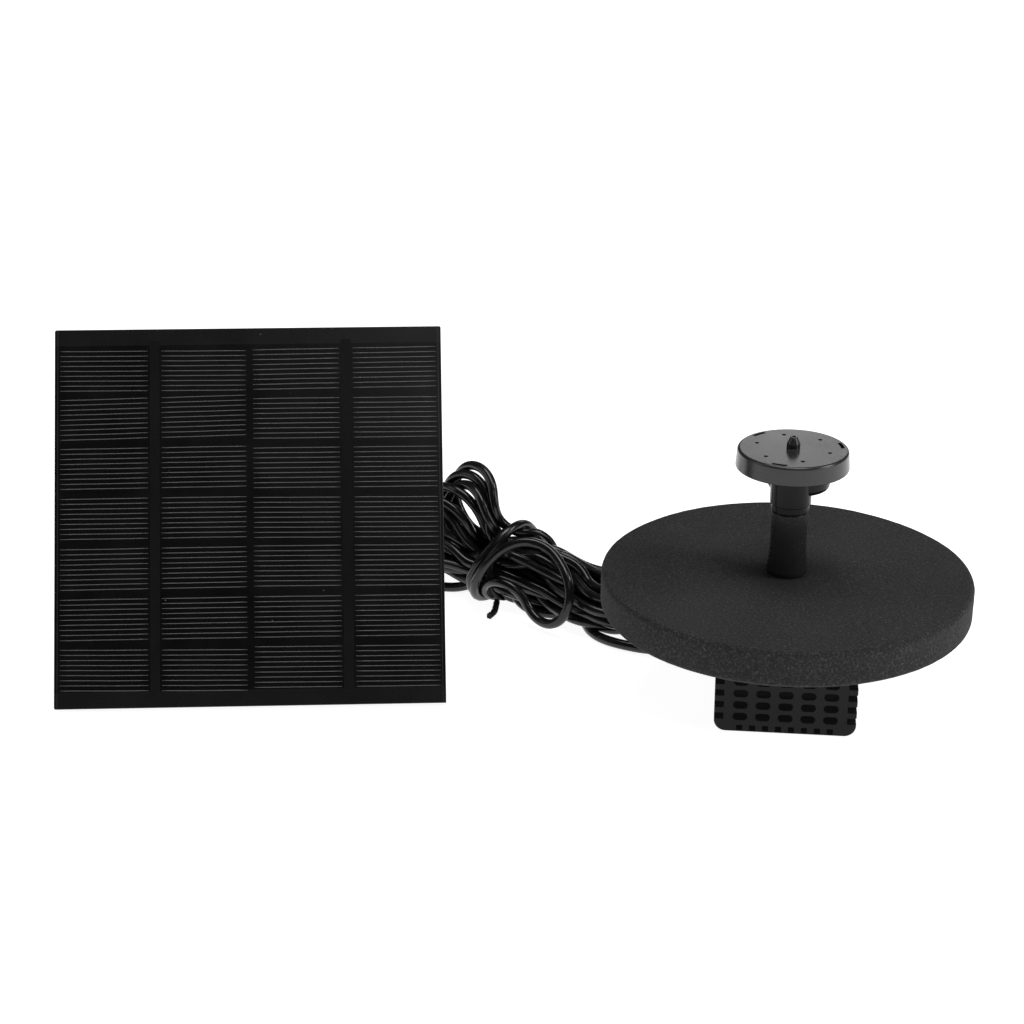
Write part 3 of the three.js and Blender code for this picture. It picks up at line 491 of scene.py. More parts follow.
def panel_glass():
    """The clear-coated face: dark silicon in rows, paler margins, dust, and a slight unevenness."""
    look = Look("panel_face")
    place = panel_place(look)
    parts = look.node("ShaderNodeSeparateXYZ", {"Vector": place})
    across, up = parts.outputs["X"], parts.outputs["Y"]
    base = COLOUR["panel_face"]
    blotch = look.noise(0.03, 3, place=place)
    over_margin = look.math("SUBTRACT", up, LOW_MARGIN * MM)
    row = look.math("FLOOR", look.math("DIVIDE", over_margin, ROW_PITCH * MM))
    column = look.math("FLOOR", look.math("DIVIDE", across, PANEL_WIDTH / 2 * MM))
    seed = look.math("MULTIPLY_ADD", column, 7.3, row)
    cell = look.node("ShaderNodeTexWhiteNoise", {"W": seed}, noise_dimensions="1D").outputs["Value"]
    tone = look.tones(look.ranged(blotch, 0.35, 0.65), base, 0.5, 0.75)
    tone = look.mix(look.math("MULTIPLY", cell, 0.35), tone, lighter(base, 1.2))
    from_middle = look.math("SUBTRACT", up, PANEL_HEIGHT / 2 * MM)
    margin = look.math("GREATER_THAN", look.math("ABSOLUTE", from_middle), CELLS_HIGH / 2 * MM)
    tone = look.mix(look.math("MULTIPLY", margin, 0.8), tone, lighter(base, 3.2))
    from_middle = look.math("SUBTRACT", across, PANEL_WIDTH / 2 * MM)
    line_out, line_half = (size * MM for size in FRAME_LINE)
    frame_line = look.math("COMPARE", look.math("ABSOLUTE", from_middle), line_out, line_half)
    tone = look.mix(look.math("MULTIPLY", frame_line, 0.7), tone, lighter(base, 11))
    dust = look.rare_spots(0.22, 0.045, 0.11, 0.57, 0.60, place)
    look.colour(look.mix(look.math("MULTIPLY", dust, 0.8), tone, (0.35, 0.35, 0.34)))
    look.roughness(look.noise(0.08, 4, place=place), 0.20, 0.34)
    look.bump(look.noise(0.06, 2, place=place), 0.05, 0.25)
    look.bump(look.noise(0.9, 2, place=place), 0.004)
    look.set(Specular_IOR_Level=0.28)
    return look.material


def silver_line():
    look = Look("printed_silver")
    grain = look.noise(4.0, 3)
    look.colour(look.mix(look.ranged(grain), (0.085, 0.085, 0.085), (0.125, 0.125, 0.126)))
    look.roughness(grain, 0.32, 0.50)
    look.bump(grain, 0.004)
    return look.material


def silicon():
    look = Look("silicon")
    place = panel_place(look)
    values = {"Vector": place, "Scale": 260.0, "Randomness": 1.0}
    grains = look.node("ShaderNodeTexVoronoi", values, feature="F1").outputs["Color"]
    base = COLOUR["silicon"]
    shade = look.node("ShaderNodeSeparateColor", {"Color": grains}).outputs[0]
    look.colour(look.tones(shade, base, 0.7, 1.8))
    look.roughness(shade, 0.28, 0.42, 0, 1)
    look.bump(look.noise(2.0, 2), 0.003)
    return look.material


def steel():
    """Steel with fine marks drawn out along Z."""
    look = Look("steel")
    base = COLOUR["steel"]
    values = {"Vector": look.place, "Scale": (1, 1, 0.15)}
    drawn = look.node("ShaderNodeMapping", values).outputs["Vector"]
    lines = look.noise(1.5, 6, 0.7, place=drawn)
    stain = look.noise(0.12, 4)
    look.colour(look.tones(look.ranged(stain, 0.35), base, 1, 0.72))
    look.roughness(lines, 0.215, 0.465)
    look.set(Metallic=1.0)
    look.bump(lines, 0.006)
    return look.material


PUMP_AXIS = (78.2, -6.6)  # the riser's axis
PUMP_YAW = math.radians(-5)
MOTOR_POINT = (79.296, -6.696, 15.4)


def along_motor(look):
    """Places in the motor's frame: X across, Y along its shaft, Z up."""
    point = tuple(c * MM for c in MOTOR_POINT)
    values = {"Vector": look.place, "Location": point, "Rotation": (0, 0, PUMP_YAW)}
    return look.node("ShaderNodeMapping", values, vector_type="TEXTURE").outputs["Vector"]


def lamination():
    """Stacked steel sheets: even bands across the motor's shaft."""
    look = Look("lamination")
    base = COLOUR["lamination"]
    bands = look.wave(along_motor(look), 100, 0.4, bands_direction="Y")
    stain = look.noise(0.2, 4)
    tone = look.tones(look.ranged(stain), base, 1, 0.75)
    look.colour(look.mix(look.math("MULTIPLY", bands, 0.6), tone, lighter(base, 0.35)))
    look.roughness(stain, 0.34, 0.50)
    look.set(Metallic=0.9)
    look.bump(bands, 0.10)
    return look.material


def wound_copper():
    """Enamelled wire in close turns round each pole."""
    look = Look("copper")
    base = COLOUR["copper"]
    wires = look.wave(along_motor(look), 190, 0.6, wave_type="RINGS",
                      rings_direction="SPHERICAL")
    stain = look.noise(0.4, 3)
    tone = look.tones(look.ranged(stain), base, 1, 0.7)
    look.colour(look.mix(look.math("MULTIPLY", wires, 0.55), tone, lighter(base, 0.35)))
    look.roughness(stain, 0.28, 0.42)
    look.set(Metallic=0.85)
    look.bump(wires, 0.10, 0.8)
    return look.material


def circuit_board():
    """Green lacquer over traces, with bare pads."""
    look = Look("circuit_board")
    base = COLOUR["circuit_board"]
    place = along_motor(look)
    flat = look.node("ShaderNodeMapping", {"Vector": place, "Rotation": (math.pi / 2, 0, 0)})
    values = {"Vector": flat.outputs["Vector"], "Scale": 300.0, "Color1": (0, 0, 0, 1),
              "Color2": (1, 1, 1, 1), "Mortar": (1, 1, 1, 1), "Mortar Size": 0.03}
    traces = look.node("ShaderNodeTexBrick", values).outputs["Fac"]
    tone = look.mix(look.math("MULTIPLY", traces, 0.6), base, lighter(base, 1.9))
    pads = look.spots(0.42, 0.16, place)
    look.colour(look.mix(pads, tone, (0.50, 0.48, 0.42)))
    look.roughness(look.noise(0.5, 3), 0.24, 0.40)
    look.bump(traces, 0.03)
    return look.material


def speckled(name, slot, rough, per_mm, contrast, relief):
    """Sintered or cast stuff: fine grains of two tones."""
    look = Look(name)
    base = COLOUR[slot]
    grain, broad = look.noise(per_mm, 5, 0.7), look.noise(0.15, 3)
    tone = look.tones(look.ranged(grain, 0.4, 0.65), base, 1 - contrast, 1 + contrast)
    look.colour(look.mix(look.ranged(broad, 0.3, 0.8, 0, 0.5), tone, lighter(base, 0.8)))
    look.roughness(grain, rough - 0.06, rough + 0.08)
    look.bump(grain, relief)
    return look.material


LOOKS = {
    "board_black": moulded("board_black", "board_black", 0.52, 2.2, 0.010, 0.15),
    "panel_face": panel_glass(),
    "silicon": silicon(),
    "silver": silver_line(),
    "ribbon": moulded("ribbon", "ribbon", 0.42, 1.4, 0.006, 0.2, shine=0.15),
    # The case glows faintly: painted light for the light thrown between its hollow walls.
    "case_black": moulded("case_black", "case_black", 0.44, 3.2, 0.007, shine=0.13, tone=0.6,
                          painted_glow=0.0035),
    "riser_black": moulded("riser_black", "case_black", 0.24, 2.6, 0.004, shine=0.24, tone=1.3),
    "head_grey": moulded("head_grey", "head_grey", 0.22, 2.8, 0.004, 0.1, shine=0.5),
    # The cap's own grey made darker: painted shade on the neck and the bowl under the cap.
    "dish_grey_painted_shade": moulded("dish_grey_painted_shade", "head_grey", 0.18, 2.8, 0.004, 0.1, shine=0.14, tone=0.42),
    "foam": foam(),
    "cable": cable_rubber(),
    "rubber": moulded("rubber", "rubber", 0.62, 2.4, 0.012, 0.2),
    "steel": steel(),
    "ceramic": speckled("ceramic", "white_ceramic", 0.26, 2.0, 0.05, 0.003),
    "ferrite": speckled("ferrite", "ferrite", 0.56, 2.6, 0.35, 0.020),
    "copper": wound_copper(),
    "lamination": lamination(),
    "circuit_board": circuit_board(),
    "resin": moulded("resin", "resin", 0.20, 0.5, 0.020, 0.2, coat=0.4),
}

# The looks of the CAD nodes that show as they are. The others are case_black.
NODE_LOOKS = {
    "panel_backboard": "board_black", "cell_ribbon_left": "ribbon", "cell_ribbon_right": "ribbon",
    "blocking_diode": "resin", "panel_cable_gland": "rubber", "junction_screw_1": "steel",
    "junction_screw_2": "steel", "prop_pin": "steel", "cover_o_ring": "rubber",
    "front_shaft_seat": "rubber", "rear_shaft_seat": "rubber", "impeller": "head_grey",
    "rotor_magnet": "ferrite", "pump_shaft": "ceramic", "stator_core": "lamination",
    "driver_board": "circuit_board", "hall_sensor": "resin", "potting_resin": "resin",
}
NODE_LOOKS.update({f"solar_cell_{i:02d}": "silicon" for i in range(1, 15)})
NODE_LOOKS.update({f"stator_coil_{i}": "copper" for i in range(1, 5)})


# ---------------------------------------------------------------- making pieces

PUMP_FRAME = Matrix.Translation((*PUMP_AXIS, 0)) @ Matrix.Rotation(PUMP_YAW, 4, "Z")
PANEL_FRAME = Matrix.Translation(PANEL_CORNER) @ Euler(PANEL_TURN).to_matrix().to_4x4()


@contextmanager
def edited(mesh):
    """The mesh as a bmesh, which is written back at the end."""
    shape = bmesh.new()
    shape.from_mesh(mesh)
    yield shape
    shape.to_mesh(mesh)
    shape.free()


def from_faces(name, points, faces, place=Matrix.Identity(4)):
    mesh = bpy.data.meshes.new(name)
    mesh.from_pydata([tuple(p) for p in points], [], faces)
    with edited(mesh) as shape:
        bmesh.ops.recalc_face_normals(shape, faces=shape.faces)
    mesh.transform(Matrix.Scale(MM, 4) @ place)
    return linked(name, mesh)


def rounded(corners, steps=4):
    """A profile with its corners rounded. Each corner is (r, z) or (r, z, radius)."""
    out = []
    for i, corner in enumerate(corners):
        here = Vector(corner[:2])
        radius = corner[2] if len(corner) > 2 else 0
        if not radius:
            out.append(here)
            continue
        before = (Vector(corners[i - 1][:2]) - here).normalized()
        after = (Vector(corners[(i + 1) % len(corners)][:2]) - here).normalized()
        half = before.angle(after) / 2
        reach = radius / math.tan(half)
        a, b = here + before * reach, here + after * reach
        middle = here + (before + after).normalized() * radius / math.sin(half)
        start, end = a - middle, b - middle
        for k in range(steps + 1):
            out.append(middle + start.slerp(end, k / steps) * radius)
    return out


def skin(rings, count, closed=True):
    """The faces between rings of count points each: round to the first ring, or capped."""
    faces = []
    for ring in range(rings if closed else rings - 1):
        a, b = ring * count, (ring + 1) % rings * count
        faces += [(a + k, b + k, b + n, a + n) for k, n in zip(range(count), [*range(1, count), 0])]
    last = (rings - 1) * count
    return faces if closed else [*faces, range(count), range(last, last + count)]


def lathe(name, corners, place, segments=128, steps=4):
    """A closed solid turned round Z from a closed profile."""
    profile = rounded(corners, steps)
    points = []
    for s in range(segments):
        angle = 2 * math.pi * s / segments
        c, d = math.cos(angle), math.sin(angle)
        points += [(p[0] * c, p[0] * d, p[1]) for p in profile]
    return from_faces(name, points, skin(segments, len(profile)), place)


def rod(radius, low, high, inner=0.001):
    """The profile of a plain cylinder or sleeve."""
    return [(inner, low), (radius, low), (radius, high), (inner, high)]


def weld(piece, distance=0.0004):
    with edited(piece.data) as shape:
        bmesh.ops.remove_doubles(shape, verts=shape.verts, dist=distance * MM)
        bmesh.ops.dissolve_degenerate(shape, edges=shape.edges, dist=distance * MM)


def arc(radius, start, end, steps, centre=(0, 0)):
    """Points on a circle, from start to end in degrees, both included."""
    turn = [math.radians(start + (end - start) * k / steps) for k in range(steps + 1)]
    return [(centre[0] + radius * math.cos(a), centre[1] + radius * math.sin(a)) for a in turn]


def rounded_outline(width, height, radius, centre, steps=10):
    """A rectangle with round corners."""
    x, z = width / 2 - radius, height / 2 - radius
    out = []
    for dx, dz, start in ((x, -z, -90), (x, z, 0), (-x, z, 90), (-x, -z, 180)):
        out += arc(radius, start, start + 90, steps, (centre[0] + dx, centre[1] + dz))
    return out


def prism(name, outline, start, end, front=0.0):
    """An (x, z) outline in the pump's frame, from y = start to y = end. front rounds its start."""
    rings = []
    middle = Vector((sum(p[0] for p in outline), sum(p[1] for p in outline))) / len(outline)
    turn = [math.pi / 2 * k / 4 for k in range(4, -1, -1)] if front else []
    steps = [(start + front * (1 - math.sin(a)), front * (1 - math.cos(a))) for a in turn]
    for y, inset in [*(steps or [(start, 0)]), (end, 0)]:
        ring = []
        for p in outline:
            away = Vector(p) - middle
            scale = 1 - inset / max(away.length, 1e-6)
            ring.append((middle[0] + away[0] * scale, y, middle[1] + away[1] * scale))
        rings.append(ring)
    points = [p for ring in rings for p in ring]
    return from_faces(name, points, skin(len(rings), len(outline), False), PUMP_FRAME)


def upright_prism(name, outline, low, high, place):
    """An (x, y) outline, from z = low to z = high."""
    points = [(x, y, z) for z in (low, high) for x, y in outline]
    return from_faces(name, points, skin(2, len(outline), False), place)


def joined(name, pieces):
    """Several separate meshes as one object."""
    mesh = bpy.data.meshes.new(name)
    with edited(mesh) as shape:
        for piece in pieces:
            shape.from_mesh(piece.data)
            bpy.data.objects.remove(piece)
    return linked(name, mesh)


def carve(piece, tool, operation="DIFFERENCE"):
    """A boolean, applied. The tool is used up."""
    step = piece.modifiers.new("carve", "BOOLEAN")
    step.operation = operation
    step.solver = "EXACT"
    step.object = tool
    bpy.context.view_layer.update()
    graph = bpy.context.evaluated_depsgraph_get()
    mesh = bpy.data.meshes.new_from_object(piece.evaluated_get(graph))
    piece.modifiers.clear()
    piece.data = mesh
    bpy.data.objects.remove(tool)


def turned(piece, corners, place, segments, steps=4, operation="DIFFERENCE"):
    """Adds or takes away a solid turned from a profile that reaches its axis."""
    tool = lathe("turned", corners, place, segments, steps)
    weld(tool, 0.01)
    carve(piece, tool, operation)


def soften(piece, width, segments=3, angle=32):
    """Rounds the edges that are sharper than angle, and shades the rest smooth."""
    if width:
        edges = piece.modifiers.new("edges", "BEVEL")
        edges.width = width * MM
        edges.segments = segments
        edges.limit_method = "ANGLE"
        edges.angle_limit = math.radians(angle)
        edges.use_clamp_overlap = True
        edges.miter_outer = "MITER_ARC"
    normals = piece.modifiers.new("normals", "WEIGHTED_NORMAL")
    normals.keep_sharp = True
    normals.weight = 80


def finish_piece(piece, body, look, replaces=(), width=0.0, angle=32):
    """Hands a new piece to the frame: what it rides on, stands for, and is made of."""
    piece.data.materials.clear()
    piece.data.materials.append(LOOKS[look])
    if piece.type == "MESH":
        piece.data.shade_smooth()
        if not width:
            mark_sharp(piece, angle)
        soften(piece, width, angle=angle)
    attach(piece, body)
    if replaces:
        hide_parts(*replaces)
    return piece


def mark_sharp(piece, angle):
    limit = math.radians(angle)
    with edited(piece.data) as shape:
        for edge in shape.edges:
            edge.smooth = len(edge.link_faces) == 2 and edge.calc_face_angle(0) < limit


# ---------------------------------------------------------------- cable and tie

def make_cable():
    data = bpy.data.curves.new("fountain_cable", "CURVE")
    data.dimensions = "3D"
    data.bevel_depth = CORD_DIAMETER / 2 * MM
    data.bevel_resolution = 4
    data.use_fill_caps = True
    spline = data.splines.new("POLY")
    spline.points.add(len(cable_line) - 1)
    flat = np.hstack([cable_line * MM, np.ones((len(cable_line), 1))])
    spline.points.foreach_set("co", flat.ravel())
    spline.use_smooth = True
    cable = linked("fountain_cable", data)
    return finish_piece(cable, "kit", "cable",
                        ["cord_panel_lead", "cord_hank", "cord_pump_lead"])


def sweep(name, centres, sections, closed):
    """A strip through sections, each a list of offsets from its centre."""
    points = [centre + offset for centre, section in zip(centres, sections) for offset in section]
    return from_faces(name, points, skin(len(centres), len(sections[0]), closed))


TIE_ALONG = 1.6  # where the tie crosses the waist
TIE_WIDTH, TIE_THICK = 2.0, 0.7
TIE_STEPS = 96  # round the waist
TAIL_WIDTH, TAIL_THICK, TAIL_LAY, TAIL_STEP = 1.8, 0.9, 5.2, 0.25


def make_tie():
    """A flat plastic-covered wire round the waist, and its two ends twisted together in front."""
    local = route - WAIST
    along, front, up = local @ ALONG, local @ FRONT, local[:, 2]
    near = (np.abs(along - TIE_ALONG) < 2.2) & (np.hypot(front, up - WAIST_UP) < 10.2)
    strands = np.stack([front[near], up[near]], 1)
    rim = strands[geometry.convex_hull_2d(strands.tolist())]
    middle = rim.mean(0)
    ring = []
    for angle in np.linspace(0, 2 * math.pi, TIE_STEPS, endpoint=False):
        way = np.array([math.cos(angle), math.sin(angle)])
        reach = max((rim - middle) @ way) + CORD_DIAMETER / 2 + 0.15
        ring.append(middle + way * reach)
    ring = np.array(ring)
    for _ in range(3):
        ring = (np.roll(ring, 1, 0) + 2 * ring + np.roll(ring, -1, 0)) / 4
    centres, sections = [], []
    for i, (f, u) in enumerate(ring):
        tangent = ring[(i + 1) % TIE_STEPS] - ring[i - 1]
        tangent /= np.linalg.norm(tangent)
        out = tangent[1] * FRONT - tangent[0] * UP
        centres.append(in_hank(TIE_ALONG, f, max(u, TIE_THICK + 0.25)))
        sections.append(flat_section(ALONG, out, TIE_WIDTH, TIE_THICK))
    band = sweep("tie_band", centres, sections, True)
    tail = []
    path = smooth_line([in_hank(1.6, 5.0, 1.5), in_hank(3.6, 8.0, 1.3), in_hank(5.4, 11.0, 1.25),
                        in_hank(6.2, 14.4, 1.2)], TAIL_STEP)
    for strand in (0, 1):
        centres, sections = [], []
        for i, point in enumerate(path):
            way = path[min(i + 1, len(path) - 1)] - path[max(i - 1, 0)]
            way /= np.linalg.norm(way)
            across = np.cross(way, UP)
            angle = 2 * math.pi * i * TAIL_STEP / TAIL_LAY + math.pi * strand
            out = math.cos(angle) * across + math.sin(angle) * np.cross(across, way)
            turned = np.cross(way, out)
            centres.append(point + 0.33 * out)
            sections.append(flat_section(turned, out, TAIL_WIDTH, TAIL_THICK))
        tail.append(sweep(f"tie_tail_{strand}", centres, sections, False))
    tie = joined("wire_tie", [band, *tail])
    for v in tie.data.vertices:
        v.co.z = max(v.co.z, 0.25 * MM)
    return finish_piece(tie, "kit", "rubber", ["twist_tie"], angle=50)


def flat_section(across, out, width, thick):
    """A flat strip's section with round edges."""
    offsets = []
    for k in range(12):
        angle = 2 * math.pi * k / 12
        x, y = math.cos(angle), math.sin(angle)
        reach = math.copysign(abs(x) ** 0.6, x) * width / 2
        height = math.copysign(abs(y) ** 0.8, y) * thick / 2
        offsets.append(reach * across + height * out)
    return offsets


cable = make_cable()
tie = make_tie()


# ---------------------------------------------------------------- panel

FACE = 3.1  # height of the panel's face over the back of its board
FINGER_COLUMNS = [(1.6, 26.4), (30.2, 54.2), (56.2, 80.8), (84.7, 108.5)]
FINGERS, FINGER_PITCH, FIRST_FINGER = 9, 1.425, 6.3
CELL_MIDDLES = (27.9, 82.3)
HALF_CELL = 14
# How the cells of each row lie, top row first: the left one's rise and its slope, in mm over
# HALF_CELL, and the same of the right one.
CELL_LIES = [
    (-0.07, -0.07, 0.15, 0.10), (0.60, 0.25, 0.0, -0.02), (0.40, 0.08, -0.08, -0.03),
    (0.20, 0.02, -0.25, -0.12), (0.06, 0.05, 0.15, -0.10), (-0.04, 0.02, -0.03, -0.03),
    (-0.38, -0.18, -0.11, -0.08),
]
BUSBARS = [(26.9, 29.7), (81.3, 84.2)]


def make_fingers():
    """The thin silver lines printed across each cell, a little wavy."""
    points, faces = [], []
    half, height, pieces = 0.12, 0.02, 10
    for column, (left, right) in enumerate(FINGER_COLUMNS):
        cell = column // 2
        middle = CELL_MIDDLES[cell]
        for row, lies in enumerate(CELL_LIES):
            rise, slope = lies[2 * cell:2 * cell + 2]
            for finger in range(FINGERS):
                y = PANEL_HEIGHT - (FIRST_FINGER + ROW_PITCH * row + FINGER_PITCH * finger)
                first = len(points)
                for k in range(pieces + 1):
                    x = left + (right - left) * k / pieces
                    wave = 0.06 * noise.noise(Vector((x * 0.09, y * 0.35, 5.0)))
                    at = y + rise + slope * (x - middle) / HALF_CELL + wave
                    taper = 0.45 if k in (0, pieces) else 1.0
                    w = half * taper * (1 + 0.18 * noise.noise(Vector((x * 0.5, y, 9.0))))
                    section = ((-w, 0), (w, 0), (w * 0.7, height), (-w * 0.7, height))
                    points += [(x, at + dy, FACE - 0.01 + dz) for dy, dz in section]
                line = skin(pieces + 1, 4, False)
                faces += [[first + k for k in face] for face in line]
    piece = from_faces("finger_lines", points, faces, PANEL_FRAME)
    return finish_piece(piece, "kit", "silver")


def make_panel_sheet():
    """The front sheet, a closed slab with slightly rounded edges."""
    middle = (PANEL_WIDTH / 2, PANEL_HEIGHT / 2)
    outline = rounded_outline(PANEL_WIDTH, PANEL_HEIGHT, 0.5, middle, 4)
    sheet = upright_prism("panel_sheet", outline, 1.8, FACE, PANEL_FRAME)
    return finish_piece(sheet, "kit", "panel_face", ["panel_front_sheet"], width=0.22)


def make_busbars():
    bars = []
    for i, (left, right) in enumerate(BUSBARS):
        outline = rounded_outline(right - left, PANEL_HEIGHT - 7, 0.4,
                                  ((left + right) / 2, PANEL_HEIGHT / 2), 3)
        bars.append(upright_prism(f"bar_{i}", outline, FACE - 0.05, FACE + 0.04, PANEL_FRAME))
    return finish_piece(joined("busbars", bars), "kit", "ribbon")


# ---------------------------------------------------------------- float, riser and spray head

FOAM_RADIUS, FOAM_HOLE = 51.4, 4.6
FOAM_BOTTOM, FOAM_TOP = 30.3, 40.7
FOAM_EDGE, HOLE_EDGE = 1.5, 0.5  # how round the rims are


def make_float():
    """A cut foam ring: flat faces, soft rims, and a surface that is never quite even."""
    outer, inner = FOAM_RADIUS - FOAM_EDGE, FOAM_HOLE + HOLE_EDGE

    def straight(start, end, steps):
        return [Vector(start).lerp(Vector(end), k / steps) for k in range(steps)]

    def rim(r, z, radius, start, steps):
        return arc(radius, start, start + 90, steps, (r, z))[:-1]

    profile = [
        *straight((inner, FOAM_BOTTOM), (outer, FOAM_BOTTOM), 22),
        *rim(outer, FOAM_BOTTOM + FOAM_EDGE, FOAM_EDGE, -90, 7),
        *straight((FOAM_RADIUS, FOAM_BOTTOM + FOAM_EDGE), (FOAM_RADIUS, FOAM_TOP - FOAM_EDGE), 6),
        *rim(outer, FOAM_TOP - FOAM_EDGE, FOAM_EDGE, 0, 7),
        *straight((outer, FOAM_TOP), (inner, FOAM_TOP), 22),
        *rim(inner, FOAM_TOP - HOLE_EDGE, HOLE_EDGE, 90, 3),
        *straight((FOAM_HOLE, FOAM_TOP - HOLE_EDGE), (FOAM_HOLE, FOAM_BOTTOM + HOLE_EDGE), 5),
        *rim(inner, FOAM_BOTTOM + HOLE_EDGE, HOLE_EDGE, 180, 3),
    ]
    pad = lathe("float_pad", profile, PUMP_FRAME, segments=220)
    with edited(pad.data) as shape:
        shape.normal_update()
        for v in shape.verts:
            at = v.co / MM
            broad = noise.noise(at * 0.045) * 0.16
            small = noise.noise(at * 0.5 + Vector((9, 3, 7))) * 0.045
            cells = noise.noise(at * 1.6) * 0.025
            in_hole = math.dist(at[:2], PUMP_AXIS) < inner + 0.3
            v.co += v.normal * ((broad + small + cells) * (0.2 if in_hole else 1) - 0.12) * MM
    finish_piece(pad, "float", "foam", ["float_disc"], angle=60)
    return pad


def make_riser():
    """A tube that flares gently to its foot, and steps in at its top for the spray head."""
    foot, neck, rise = 5.7, 5.0, 9.6
    flare = [
        (neck + (foot - neck) * (1 - f) ** 1.7, 41.9 + rise * f ** 1.25)
        for f in np.linspace(0, 1, 13)
    ]
    corners = [
        (3.95, 41.0), (5.55, 41.0), (5.67, 41.12), *flare, (neck, 58.8), (4.85, 59.0), (4.25, 59.0),
        (4.2, 59.15), (4.2, 67.0), (4.0, 67.2), (2.7, 67.2), (2.7, 56.4), (3.95, 54.6),
    ]
    tube = lathe("riser", corners, PUMP_FRAME, 96, 5)
    return finish_piece(tube, "riser", "riser_black", ["riser_tube"], angle=28)


def make_dish():
    """A socket on the riser, a floor that closes the cap, and a round chamber behind the socket."""
    chamber = PUMP_FRAME @ Matrix.Translation((2.1, 4.9, 0))
    floor = [(0.001, 72.9), (13.7, 72.9), (13.8, 73.0), (13.8, 74.0), (0.001, 74.0)]
    dish = lathe("dish_body", floor, PUMP_FRAME)
    drum = [(0.001, 64.1), (8.6, 64.1, 1.5), (8.6, 73.6), (0.001, 73.6)]
    hollow = [(0.001, 65.1), (7.6, 65.1, 0.8), (7.6, 75), (0.001, 75)]
    stem = [(0.001, 59.4), (5.13, 59.4), (5.25, 59.52), (5.25, 61.2), (5.36, 61.3), (5.58, 61.42),
            (5.65, 61.6), (5.65, 73.9), (0.001, 73.9)]
    steps = [
        (drum, chamber, "UNION"), (hollow, chamber, "DIFFERENCE"), (stem, PUMP_FRAME, "UNION"),
        (rod(4.45, 58, 67.6), PUMP_FRAME, "DIFFERENCE"),
        (rod(2.7, 60, 75), PUMP_FRAME, "DIFFERENCE"),
    ]
    weld(dish, 0.01)
    for corners, place, operation in steps:
        turned(dish, corners, place, 96, 8, operation)
    weld(dish)
    return finish_piece(dish, "spray_base", "dish_grey_painted_shade", ["spray_dish"], angle=30)


CAP_RADIUS, CAP_TOP, CAP_BOTTOM = 15.45, 77.2, 72.0
HOLES, FIRST_HOLE, HOLE_CIRCLE, HOLE_RADIUS = 6, 43.5, 10.2, 0.62
SLOTS, FIRST_SLOT_TURN, SLOT_HALF_TURN, SLOT_RADII = 3, 13.4, 9, (12.9, 13.95)


def make_cap():
    """The lid: a short jet in its middle, a ring of holes, and three curved slots near its rim."""
    corners = [
        (0.5, 75.8), (14.45, 75.8), (14.45, 72.1), (14.55, CAP_BOTTOM, 0.04),
        (CAP_RADIUS - 0.1, CAP_BOTTOM, 0.08), (CAP_RADIUS, CAP_BOTTOM + 0.25),
        (15.05, CAP_TOP, 0.8), (1.8, CAP_TOP, 0.12), (1.84, CAP_TOP + 1.5, 0.9),
        (0.98, CAP_TOP + 3.3, 0.25), (0.5, CAP_TOP + 3.3, 0.1),
    ]
    cap = lathe("cap_body", corners, PUMP_FRAME, 160, 6)
    outlines = []
    for k in range(HOLES):
        angle = math.radians(FIRST_HOLE + 360 / HOLES * k)
        at = (HOLE_CIRCLE * math.cos(angle), HOLE_CIRCLE * math.sin(angle))
        outlines.append(arc(HOLE_RADIUS, 0, 360, 20, at)[:-1])
    for k in range(SLOTS):
        middle = FIRST_SLOT_TURN + 360 / SLOTS * k
        start, end = middle - SLOT_HALF_TURN, middle + SLOT_HALF_TURN
        inner, outer = SLOT_RADII
        outlines.append(arc(outer, start, end, 11) + arc(inner, end, start, 11))
    tools = [upright_prism("cap_tool", o, 75.0, CAP_TOP + 1, PUMP_FRAME) for o in outlines]
    carve(cap, joined("cap_tools", tools))
    weld(cap)
    return finish_piece(cap, "spray_top", "head_grey", ["spray_cap"], angle=30)


# ---------------------------------------------------------------- pump shell

PUMP_SIZE = (39.0, 30.0)
PUMP_CENTRE = (1.1, 15.0)
PUMP_CORNER = 3.2
SHELL_FRONT, SHELL_JOINT, SHELL_REAR = -19.0, -6.7, 22.2
WALL = 1.6
SLOT_COLUMNS, SLOT_COLUMN_PITCH = 5, 6.19
SLOT_ROWS, SLOT_ROW_PITCH, FIRST_SLOT = 7, 3.55, 4.7
SLOT_SIZE = (4.1, 2.3)
SIDE_NOTCH, LOW_NOTCH = (3.6, 1.9), (1.7, 1.65)
LOW_NOTCHES, LOW_NOTCH_UP = 8, 1.275
NOTCH_DEEP = 4.4


def shell_outline(inset):
    width, height = PUMP_SIZE[0] - 2 * inset, PUMP_SIZE[1] - 2 * inset
    return rounded_outline(width, height, PUMP_CORNER - inset, PUMP_CENTRE)


